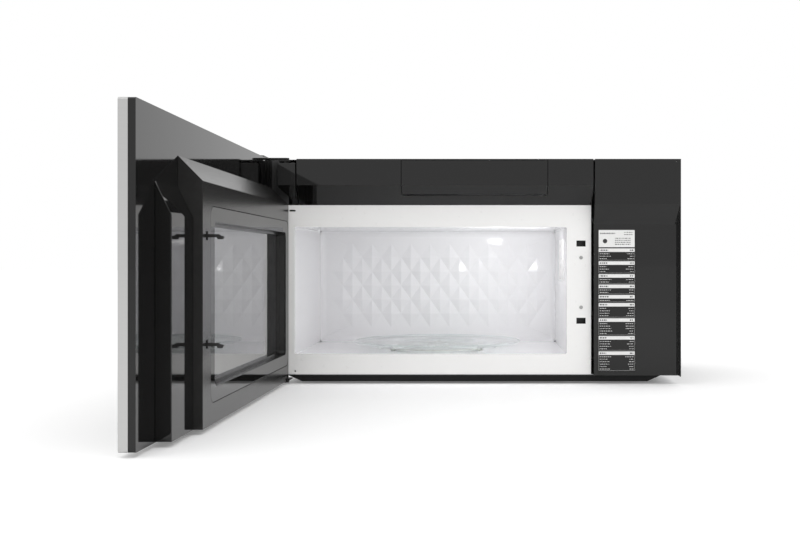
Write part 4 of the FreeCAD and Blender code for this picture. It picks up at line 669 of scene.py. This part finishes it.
class MICROWAVE_OT_hinge_boot(bpy.types.Operator):
    """Mould the soft boot that closes the gap between the casing and the open door"""

    bl_idname = "microwave.hinge_boot"
    bl_label = "Hinge boot"

    reach: FloatProperty(name="Reach", description="How far it stands out from the casing's side",
                         unit="LENGTH", default=0.0205, precision=4)
    depth: FloatProperty(name="Depth", unit="LENGTH", default=0.047, precision=4,
                         description="How far behind the front its upright web stands")
    flap: FloatProperty(name="Flap", description="How far its flap runs in behind the hinge cover",
                        unit="LENGTH", default=0.017, precision=4)
    rise: FloatProperty(name="Rise", description="How far it stands above the hinge cover",
                        unit="LENGTH", default=0.0122, precision=4)
    pleats: IntProperty(name="Pleats", description="Folds down its face", default=4, min=1, max=12)
    web = 0.0045  # thickness of the upright web
    pleat = 0.0012  # depth of a fold
    side_gap, strap = 0.0001, 0.0009  # the strap's inner and outer face, from the side
    flap_front, flap_back = 0.0311, 0.0322  # faces of the flap, behind the front
    flap_foot, flap_top = 0.0006, 0.034  # ends of the flap, above the hinge cover's foot
    rounding, rounded_above = 0.0003, 50  # radius, and the edge angle in degrees

    def execute(self, context):
        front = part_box("control_side_panel")[0].y
        cover_low, cover_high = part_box("hinge_cover")
        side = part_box("outer_wrap")[0].x
        shape = bmesh.new()
        web_front = front + self.depth
        column = slab(shape, (side - self.reach, web_front, cover_low.z),
                      (side - self.side_gap, web_front + self.web, cover_high.z + self.rise))
        across = dict.fromkeys(e for v in column for e in v.link_edges
                               if abs(e.verts[0].co.x - e.verts[1].co.x) > self.web)
        bmesh.ops.subdivide_edges(shape, edges=list(across), cuts=2 * self.pleats - 1,
                                  use_grid_fill=True)
        for vert in shape.verts:
            along = (vert.co.x - side + self.reach) / self.reach * 2 * self.pleats
            if vert.co.y < web_front + self.web / 2 and round(along) % 2:
                vert.co.y += self.pleat
        outer, start = side - self.strap, front + self.flap_front
        low, high = cover_low.z + self.flap_foot, cover_low.z + self.flap_top
        slab(shape, (outer, start, low), (side - self.side_gap, web_front, high))
        slab(shape, (outer, start, low), (side + self.flap, front + self.flap_back, high))
        round_edges(shape, self.rounding, degrees=self.rounded_above)
        made = piece("hinge_boot", shape, "grommet", "casing")
        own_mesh(made)
        return {"FINISHED"}


class MICROWAVE_OT_oven(bpy.types.Operator):
    """Finish the front plate and the oven's walls and floor"""

    bl_idname = "microwave.oven"
    bl_label = "Oven"

    def execute(self, context):
        soften("cavity_front_plate", radius=0.0003)
        dress("cavity_wrap", "cavity_floor")
        return {"FINISHED"}


class MICROWAVE_OT_rear_wall(bpy.types.Operator):
    """Model the oven's rear wall with its coved edge and faceted field"""

    bl_idname = "microwave.rear_wall"
    bl_label = "Rear wall"

    sheet: FloatProperty(name="Sheet", description="Thickness of the wall's sheet",
                         unit="LENGTH", default=0.0008, precision=5)
    crease: FloatProperty(name="Crease", description="Softening along the facets' creases",
                          unit="LENGTH", default=0.0022, precision=4)
    steps: IntProperty(name="Cove steps", description="Steps across the cove",
                       default=6, min=2, max=16)
    corner, corner_steps = 0.010, 5  # radius of the pan's corners, and steps round them
    lift = 0.0001  # from the pan to the field's low points
    least_crease, crease_steps = 0.02, 3  # smallest angle in radians, and steps across
    skin = 0.9  # the modelled thickness, as a share of the sheet's

    def pan(self, wall, low, high):
        """The wall's sheet, coved forward to meet the oven's sides, top and floor."""
        shape = bmesh.new()
        front = wall.cove
        corners = [(low.x, low.z), (high.x, low.z), (high.x, high.z), (low.x, high.z)]
        plane = high.y - self.sheet
        verts = [shape.verts.new((x, plane - front, z)) for x, z in corners]
        face = shape.faces.new(verts)
        face.normal_update()
        if face.normal.y > 0:
            face.normal_flip()
        bevel(shape, shape.verts[:], self.corner, self.corner_steps, affect="VERTICES")
        quarter = math.pi / 2.0 / self.steps
        for step in range(self.steps):
            before, after = step * quarter, (step + 1) * quarter
            inward = front * (math.cos(before) - math.cos(after))
            deeper = front * (math.sin(after) - math.sin(before))
            bmesh.ops.inset_region(shape, faces=[middle_face(shape)], thickness=inward,
                                   depth=-deeper, use_even_offset=True, use_boundary=True)
        bmesh.ops.poke(shape, faces=[middle_face(shape)])
        return shape

    def field(self, shape, wall, low, high, plane):
        """Right-angled facets: every second grid point is a peak, split along the low diagonals."""
        width = high[0] - low[0]
        height = high[1] - low[1]
        grid = bmesh.ops.create_grid(
            shape, x_segments=wall.columns, y_segments=wall.rows, size=0.5,
            matrix=Matrix.Translation(((low[0] + high[0]) / 2, plane, (low[1] + high[1]) / 2))
            @ Matrix.Rotation(math.pi / 2, 4, "X") @ Matrix.Diagonal((width, height, 1.0, 1.0)))
        faces = dict.fromkeys(f for v in grid["verts"] for f in v.link_faces)

        def index(vert):
            column = round((vert.co.x - low[0]) / width * wall.columns)
            row = round((vert.co.z - low[1]) / height * wall.rows)
            return column, row

        for face in list(faces):
            even = [v for v in face.verts if sum(index(v)) % 2 == 0]
            bmesh.utils.face_split(face, even[0], even[1])
        for vert in grid["verts"]:
            column, row = index(vert)
            inside = 0 < column < wall.columns and 0 < row < wall.rows
            if (column + row) % 2 and inside:
                vert.co.y -= wall.relief

    def execute(self, context):
        wall = context.scene.microwave_rear_wall
        low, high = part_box("cavity_back_wall")
        shape = self.pan(wall, low, high)
        plane = high.y - self.sheet - self.lift
        for face in shape.faces:
            face.smooth = len(face.verts) == 4
        lowest, highest = field_corners()
        of_pan = set(shape.edges)
        self.field(shape, wall, lowest, highest, plane)
        creases = [e for e in shape.edges if e not in of_pan and e.is_manifold
                   and e.calc_face_angle(0.0) > self.least_crease]
        bevel(shape, creases, self.crease, self.crease_steps)
        made = piece("rear_wall_relief", shape, "cavity_enamel", "casing", ("cavity_back_wall",),
                     smooth=False)
        thick = made.modifiers.new("sheet", "SOLIDIFY")
        thick.thickness = self.sheet * self.skin
        thick.offset = -1.0
        return {"FINISHED"}


def middle_face(shape):
    """The pan's flat middle, the only face with more than four corners."""
    return max(shape.faces, key=lambda face: len(face.verts))


def field_corners():
    """Corners, in x and z, of the raised field that the CAD wall carries."""
    tolerance = 0.0002
    node = frame["nodes"]["cavity_back_wall"]
    front = min(v.co.y for v in node.data.vertices)
    near = [v.co for v in node.data.vertices if v.co.y < front + tolerance]
    return ((min(p.x for p in near), min(p.z for p in near)),
            (max(p.x for p in near), max(p.z for p in near)))


class MICROWAVE_OT_tray(bpy.types.Operator):
    """Turn the glass tray and finish the roller ring below it"""

    bl_idname = "microwave.tray"
    bl_label = "Tray and rollers"

    steps: IntProperty(name="Steps", description="Steps round the tray",
                       default=128, min=24, max=256)
    glass: FloatProperty(name="Glass", description="Thickness of the tray's glass",
                         unit="LENGTH", default=0.0042, precision=4)
    bead_turns = range(-60, 181, 40)  # the rim bead's points, in degrees
    seam = 1e-6  # turned points nearer than this are one point

    def profile(self, radius, rise, bead):
        """The tray's section, as pairs of radius and height, from below round to above."""
        under = [(0.0, 0.0), (radius * 0.30, 0.0), (radius * 0.32, 0.0004), (radius * 0.84, 0.0004),
                 (radius * 0.86, 0.0), (radius - 0.010, 0.0), (radius - 0.0045, 0.0012)]
        rim = []
        for angle in map(math.radians, self.bead_turns):
            rim.append((radius - bead + bead * math.cos(angle),
                        rise - bead + bead * math.sin(angle)))
        groove = self.glass - 0.0006
        over = [(radius - 0.0072, self.glass + 0.0008), (radius - 0.012, self.glass),
                (radius * 0.86, self.glass), (radius * 0.85, groove),
                (radius * 0.35, groove), (radius * 0.34, self.glass), (0.0, self.glass)]
        return under + rim + over

    def execute(self, context):
        bead = context.scene.microwave_glass.rim_bead
        low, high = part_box("glass_tray")
        centre = Vector(((low.x + high.x) / 2, (low.y + high.y) / 2, low.z))
        section = self.profile((high.x - low.x) / 2.0, high.z - low.z, bead)
        shape = bmesh.new()
        verts = [shape.verts.new((r, 0.0, z)) for r, z in section]
        edges = [shape.edges.new(pair) for pair in zip(verts, verts[1:])]
        bmesh.ops.spin(shape, geom=verts + edges, cent=(0, 0, 0), axis=(0, 0, 1),
                       angle=2 * math.pi, steps=self.steps, use_merge=True, use_duplicate=False)
        bmesh.ops.remove_doubles(shape, verts=shape.verts, dist=self.seam)
        bmesh.ops.recalc_face_normals(shape, faces=shape.faces)
        piece("turned_tray", shape, "tray_glass", "tray", ("glass_tray",),
              place=Matrix.Translation(centre))
        dress("roller_ring", "roller_wheel_1", "roller_wheel_2", "roller_wheel_3")
        return {"FINISHED"}


class MICROWAVE_OT_guide(bpy.types.Operator):
    """Print the cooking guide's bars and rows on its label, with no words"""

    bl_idname = "microwave.guide"
    bl_label = "Cooking guide"

    margin: FloatProperty(name="Margin", description="Border round the print",
                          unit="LENGTH", default=0.0036, precision=4)
    box_height: FloatProperty(name="Box", description="Height of the white box at the top",
                              unit="LENGTH", default=0.0326, precision=4)
    bar_height: FloatProperty(name="Bar", description="Height of each white bar",
                              unit="LENGTH", default=0.0066, precision=4)
    row_pitch: FloatProperty(name="Row pitch", description="From one row of dashes to the next",
                             unit="LENGTH", default=0.00465, precision=5)
    gap: FloatProperty(name="Gap", description="Between the last row and the next bar",
                       unit="LENGTH", default=0.0039, precision=4)

    ink: FloatProperty(name="Ink", description="Thickness of the printed ink",
                       unit="LENGTH", default=0.00006, precision=6)
    space: FloatProperty(name="Space", description="Between one dash and the next",
                         unit="LENGTH", default=0.0013, precision=5)
    dash_height: FloatProperty(name="Dash height", description="Height of the dashes in the rows",
                               unit="LENGTH", default=0.0009, precision=5)
    rows = (3, 3, 2, 2, 1, 4, 5, 4, 6)  # rows of dashes under each bar
    # Dark rows on the white box: how many, start, end, drop of the first, pitch and height.
    # A start or end below zero counts from the right.
    box_rows = (
        (1, 0.003, 0.032, 0.0075, 0.0, 0.0022),
        (2, -0.020, -0.003, 0.005, 0.0042, 0.0013),
        (4, 0.031, -0.008, 0.0165, 0.0038, 0.0015),
    )
    dash_least, dash_most = 0.0010, 0.0040  # lengths of a dash
    dial_in, dial_drop, dial_radius, dial_sides = 0.012, 0.021, 0.0042, 32
    box_gap = 0.0024  # from the white box to the first bar
    inset = 0.002  # from the print's edge to the dashes
    line = 0.0002  # width of the frame round each set of rows
    bar_foot, bar_text = 0.68, 0.36  # a bar's dashes: drop and height, in bars
    title, title_more = 0.014, 0.008  # end of a bar's left dashes, and what chance adds
    unit = 0.009  # start of a bar's right dashes, from the right
    entry, entry_more = 0.012, 0.014  # the same for a row's left dashes
    amount = (0.008, 0.018)  # start of a row's right dashes, from the right
    row_foot, frame_foot = 0.86, 0.45  # drop of a row in pitches, and of a frame in gaps

    def mark(self, shape, x0, x1, z0, z1, layer=1):
        face = self.face - self.ink * (layer - 1)
        slab(shape, (x0, face - self.ink, z0), (x1, face, z1))

    def dashes(self, shape, chance, start, end, z, height, layer=1):
        """A row of short dashes from one place to another."""
        x = start
        while x < end:
            length = min(chance.uniform(self.dash_least, self.dash_most), end - x)
            self.mark(shape, x, x + length, z, z + height, layer)
            x += length + self.space

    def execute(self, context):
        chance = random.Random(7)
        low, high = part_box("cooking_guide_label")
        dress("cooking_guide_label")
        self.face = low.y
        left, right = low.x + self.margin, high.x - self.margin
        top = high.z - self.margin
        white, dark = bmesh.new(), bmesh.new()
        self.mark(white, left, right, top - self.box_height, top)
        for count, start, end, drop, pitch, height in self.box_rows:
            start += left if start > 0 else right
            end += left if end > 0 else right
            for row in range(count):
                self.dashes(dark, chance, start, end, top - drop - row * pitch, height, 2)
        dial = Matrix.Translation(
            (left + self.dial_in, self.face - self.ink * 1.5, top - self.dial_drop))
        bmesh.ops.create_cone(dark, cap_ends=True, segments=self.dial_sides,
                              radius1=self.dial_radius, radius2=self.dial_radius, depth=self.ink,
                              matrix=dial @ Matrix.Rotation(math.pi / 2, 4, "X"))
        z = top - self.box_height - self.box_gap
        for count in self.rows:
            self.mark(white, left, right, z - self.bar_height, z)
            foot, height = z - self.bar_height * self.bar_foot, self.bar_height * self.bar_text
            self.dashes(dark, chance, left + self.inset,
                        left + self.title + chance.uniform(0, self.title_more), foot, height, 2)
            self.dashes(dark, chance, right - self.unit, right - self.inset, foot, height, 2)
            z -= self.bar_height
            bottom = z - count * self.row_pitch - self.gap * self.frame_foot
            for x in (left, right - self.line):
                self.mark(white, x, x + self.line, bottom, z)
            self.mark(white, left, right, bottom, bottom + self.line)
            for row in range(count):
                base = z - (row + self.row_foot) * self.row_pitch
                self.dashes(white, chance, left + self.inset,
                            left + self.entry + chance.uniform(0, self.entry_more),
                            base, self.dash_height)
                self.dashes(white, chance, right - chance.uniform(*self.amount),
                            right - self.inset, base, self.dash_height)
            z -= count * self.row_pitch + self.gap
        piece("guide_print_white", white, "printed_white", "casing", smooth=False)
        piece("guide_print_dark", dark, "printed_dark", "casing", smooth=False)
        return {"FINISHED"}


class MICROWAVE_OT_door(bpy.types.Operator):
    """Finish the door's steel pan, glass, back frame, choke block and latch housing"""

    bl_idname = "microwave.door"
    bl_label = "Door"

    def execute(self, context):
        soften("door_skin", radius=0.0004)
        soften("door_front_glass", radius=0.0005)
        soften("door_back_frame")
        soften("choke_frame")
        soften("control_housing")
        return {"FINISHED"}


class MICROWAVE_OT_window(bpy.types.Operator):
    """Finish the window's ring, inner glass and perforated screen"""

    bl_idname = "microwave.window"
    bl_label = "Window"

    def execute(self, context):
        soften("window_bezel", radius=0.0009, segments=3)
        dress("inner_window_glass", "perforated_screen")
        return {"FINISHED"}


class MICROWAVE_OT_grease_filters(bpy.types.Operator):
    """Lay expanded mesh in the grease filters' frames"""

    bl_idname = "microwave.grease_filters"
    bl_label = "Grease filters"

    pitch: FloatProperty(name="Pitch", description="From one diamond of the mesh to the next",
                         unit="LENGTH", default=0.008, precision=4)
    strand: FloatProperty(name="Strand", description="Width of a strand",
                          unit="LENGTH", default=0.0009, precision=5)
    rim: FloatProperty(name="Rim", description="Width of the filter's frame",
                       unit="LENGTH", default=0.0072, precision=4)
    flatness = 0.62  # a diamond's depth over its width
    sink = 0.0011  # height of the mesh above the frame's underside
    strand_flatness = 0.5  # a strand's height over its width

    def lattice(self, node, body):
        low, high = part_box(node)
        middle = (low + high) / 2
        width = high.x - low.x - 2 * self.rim
        depth = high.y - low.y - 2 * self.rim
        count = math.ceil((width + depth) / self.pitch)
        shape = bmesh.new()
        flatten = Matrix.Diagonal((1.0, self.flatness, 1.0, 1.0))
        bmesh.ops.create_grid(shape, x_segments=count, y_segments=count,
                              size=count * self.pitch / 2,
                              matrix=flatten @ Matrix.Rotation(math.pi / 4, 4, "Z"))
        for sign in (-1, 1):
            for axis, half in ((0, width / 2), (1, depth / 2)):
                normal = Vector((0, 0, 0))
                normal[axis] = sign
                geometry = shape.verts[:] + shape.edges[:] + shape.faces[:]
                bmesh.ops.bisect_plane(shape, geom=geometry, plane_co=normal * half,
                                       plane_no=normal, clear_outer=True)
        bmesh.ops.wireframe(shape, faces=shape.faces[:], thickness=self.strand, offset=0.0,
                            use_replace=True, use_boundary=True, use_even_offset=True)
        bmesh.ops.scale(shape, vec=(1, 1, self.strand_flatness), verts=shape.verts)
        piece(body + "_mesh", shape, "grease_mesh", body, smooth=False,
              place=Matrix.Translation((middle.x, middle.y, low.z + self.sink)))

    def execute(self, context):
        for side in ("left", "right"):
            node = "grease_filter_" + side
            dress(node)
            self.lattice(node, side + "_grease_filter")
        return {"FINISHED"}


class MICROWAVE_OT_cooktop_lamps(bpy.types.Operator):
    """Finish the cooktop lamps and their ribbed covers"""

    bl_idname = "microwave.cooktop_lamps"
    bl_label = "Cooktop lamps"

    def execute(self, context):
        dress("cooktop_lamps", "cooktop_lamp_lenses")
        return {"FINISHED"}


class MICROWAVE_OT_stage(bpy.types.Operator):
    """Set the floor, the white surround, the soft lights and the camera"""

    bl_idname = "microwave.stage"
    bl_label = "Studio"

    eye: FloatVectorProperty(name="Eye", unit="LENGTH", size=3, precision=5,
                             description="Where the camera stands, from the front's centre",
                             default=(0.00015, -1.936587, 0.213761))
    focal: FloatProperty(name="Focal length", description="In millimetres on a 36 mm wide sensor",
                         default=46.36, min=10, max=200)
    shift: FloatVectorProperty(name="Shift", size=2, precision=4, default=(-0.0987, -0.0150),
                               description="Shift of the frame across and up, as a share of it")
    sensor_width = 36.0
    half_floor = 30.0  # half the floor's side
    key_size, strip_size, spot_size = (2.4, 1.2), (0.20, 0.03), (0.03, 0.005)

    def light(self, name, power, size, place, target):
        data = bpy.data.lights.new(name, "AREA")
        data.energy = power
        data.shape = "RECTANGLE"
        data.size, data.size_y = size
        data.spread = math.pi
        made = placed(name, data)
        made.location = place
        made.rotation_mode = "QUATERNION"
        made.rotation_quaternion = (Vector(target) - Vector(place)).to_track_quat("-Z", "Y")
        return made

    def floor(self, level, glow):
        shape = bmesh.new()
        bmesh.ops.create_grid(shape, x_segments=2, y_segments=2, size=self.half_floor,
                              matrix=Matrix.Translation((0, 0, level)))
        mesh = bpy.data.meshes.new("studio_floor")
        shape.to_mesh(mesh)
        shape.free()
        made = placed("studio_floor", mesh)
        paper = Finish("floor_paper", (0.94, 0.94, 0.94), 0.9)
        paper.mottle(paper.noise(2.0, 2.0), 0.998)
        paper.set("Specular IOR Level", 0.0)
        paper.set("Emission Color", (1.0, 1.0, 1.0, 1.0))
        paper.set("Emission Strength", glow)
        mesh.materials.append(paper.material)
        made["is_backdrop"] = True

    def oven_light(self, studio):
        """A strip and a spot under the oven's ceiling, which the camera doesn't see."""
        low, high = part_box("cavity_wrap")
        place = (high.x - 0.12, low.y + 0.05, high.z - 0.006)
        target = ((low.x + high.x) / 2, high.y, (low.z + high.z) / 2)
        strip = self.light("oven_light", studio.oven_light, self.strip_size, place, target)
        strip.visible_camera = False
        strip.visible_glossy = False
        place = (high.x - 0.13, low.y + 0.02, high.z - 0.016)
        target = (high.x - 0.06, high.y, 0.2)
        spot = self.light("sparkle_light", studio.sparkle, self.spot_size, place, target)
        spot.visible_camera = False

    def surround(self, strength):
        world = bpy.data.worlds.new("white_surround")
        world.use_nodes = True
        background = world.node_tree.nodes["Background"]
        background.inputs["Color"].default_value = (1.0, 1.0, 1.0, 1.0)
        background.inputs["Strength"].default_value = strength
        bpy.context.scene.world = world

    def camera(self, front):
        data = bpy.data.cameras.new("studio_camera")
        data.lens = self.focal
        data.sensor_fit = "HORIZONTAL"
        data.sensor_width = self.sensor_width
        data.shift_x, data.shift_y = self.shift
        data.clip_end = 100.0
        made = placed("studio_camera", data)
        made.location = Vector(self.eye) + Vector((0, front, 0))
        made.rotation_euler = (math.pi / 2, 0, 0)
        bpy.context.scene.camera = made

    def execute(self, context):
        studio = context.scene.microwave_studio
        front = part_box("control_side_panel")[0].y
        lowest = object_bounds()[0].z
        self.floor(lowest - studio.floor_gap, studio.paper_glow)
        self.surround(studio.surround)
        self.light("key_light", studio.key, self.key_size, (-0.4, front - 1.6, 2.2), (0, 0, 0.2))
        self.oven_light(studio)
        self.camera(front)
        context.scene.view_settings.view_transform = "Standard"
        context.scene.view_settings.look = "None"
        return {"FINISHED"}


class MICROWAVE_PT_panel(bpy.types.Panel):
    """Lists the microwave's pieces and their settings"""

    bl_label = "Microwave"
    bl_idname = "MICROWAVE_PT_panel"
    bl_space_type = "VIEW_3D"
    bl_region_type = "UI"
    bl_category = "Microwave"

    def draw(self, context):
        for name in SETTINGS:
            box = self.layout.box()
            group = getattr(context.scene, name)
            for key in group.__annotations__:
                box.prop(group, key)
        column = self.layout.column(align=True)
        for operator in OPERATORS:
            column.operator(operator.bl_idname)


SETTINGS = {
    "microwave_finish": FinishSettings,
    "microwave_rear_wall": RearWallSettings,
    "microwave_glass": GlassSettings,
    "microwave_studio": StudioSettings,
}
OPERATORS = (  # in the order they run
    MICROWAVE_OT_casing, MICROWAVE_OT_works, MICROWAVE_OT_fasteners, MICROWAVE_OT_front_trims,
    MICROWAVE_OT_hinge_boot, MICROWAVE_OT_oven, MICROWAVE_OT_rear_wall, MICROWAVE_OT_tray,
    MICROWAVE_OT_guide, MICROWAVE_OT_door, MICROWAVE_OT_window, MICROWAVE_OT_grease_filters,
    MICROWAVE_OT_cooktop_lamps, MICROWAVE_OT_stage,
)


def register():
    for group in SETTINGS.values():
        bpy.utils.register_class(group)
    for operator in OPERATORS:
        bpy.utils.register_class(operator)
    bpy.utils.register_class(MICROWAVE_PT_panel)
    for name, group in SETTINGS.items():
        setattr(bpy.types.Scene, name, PointerProperty(type=group))


def unregister():
    for name in SETTINGS:
        delattr(bpy.types.Scene, name)
    bpy.utils.unregister_class(MICROWAVE_PT_panel)
    for operator in reversed(OPERATORS):
        bpy.utils.unregister_class(operator)
    for group in reversed(list(SETTINGS.values())):
        bpy.utils.unregister_class(group)


def main():
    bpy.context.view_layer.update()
    register()
    for operator in OPERATORS:
        getattr(bpy.ops.microwave, operator.bl_idname.split(".")[1])()


if __name__ == "__main__":
    main()
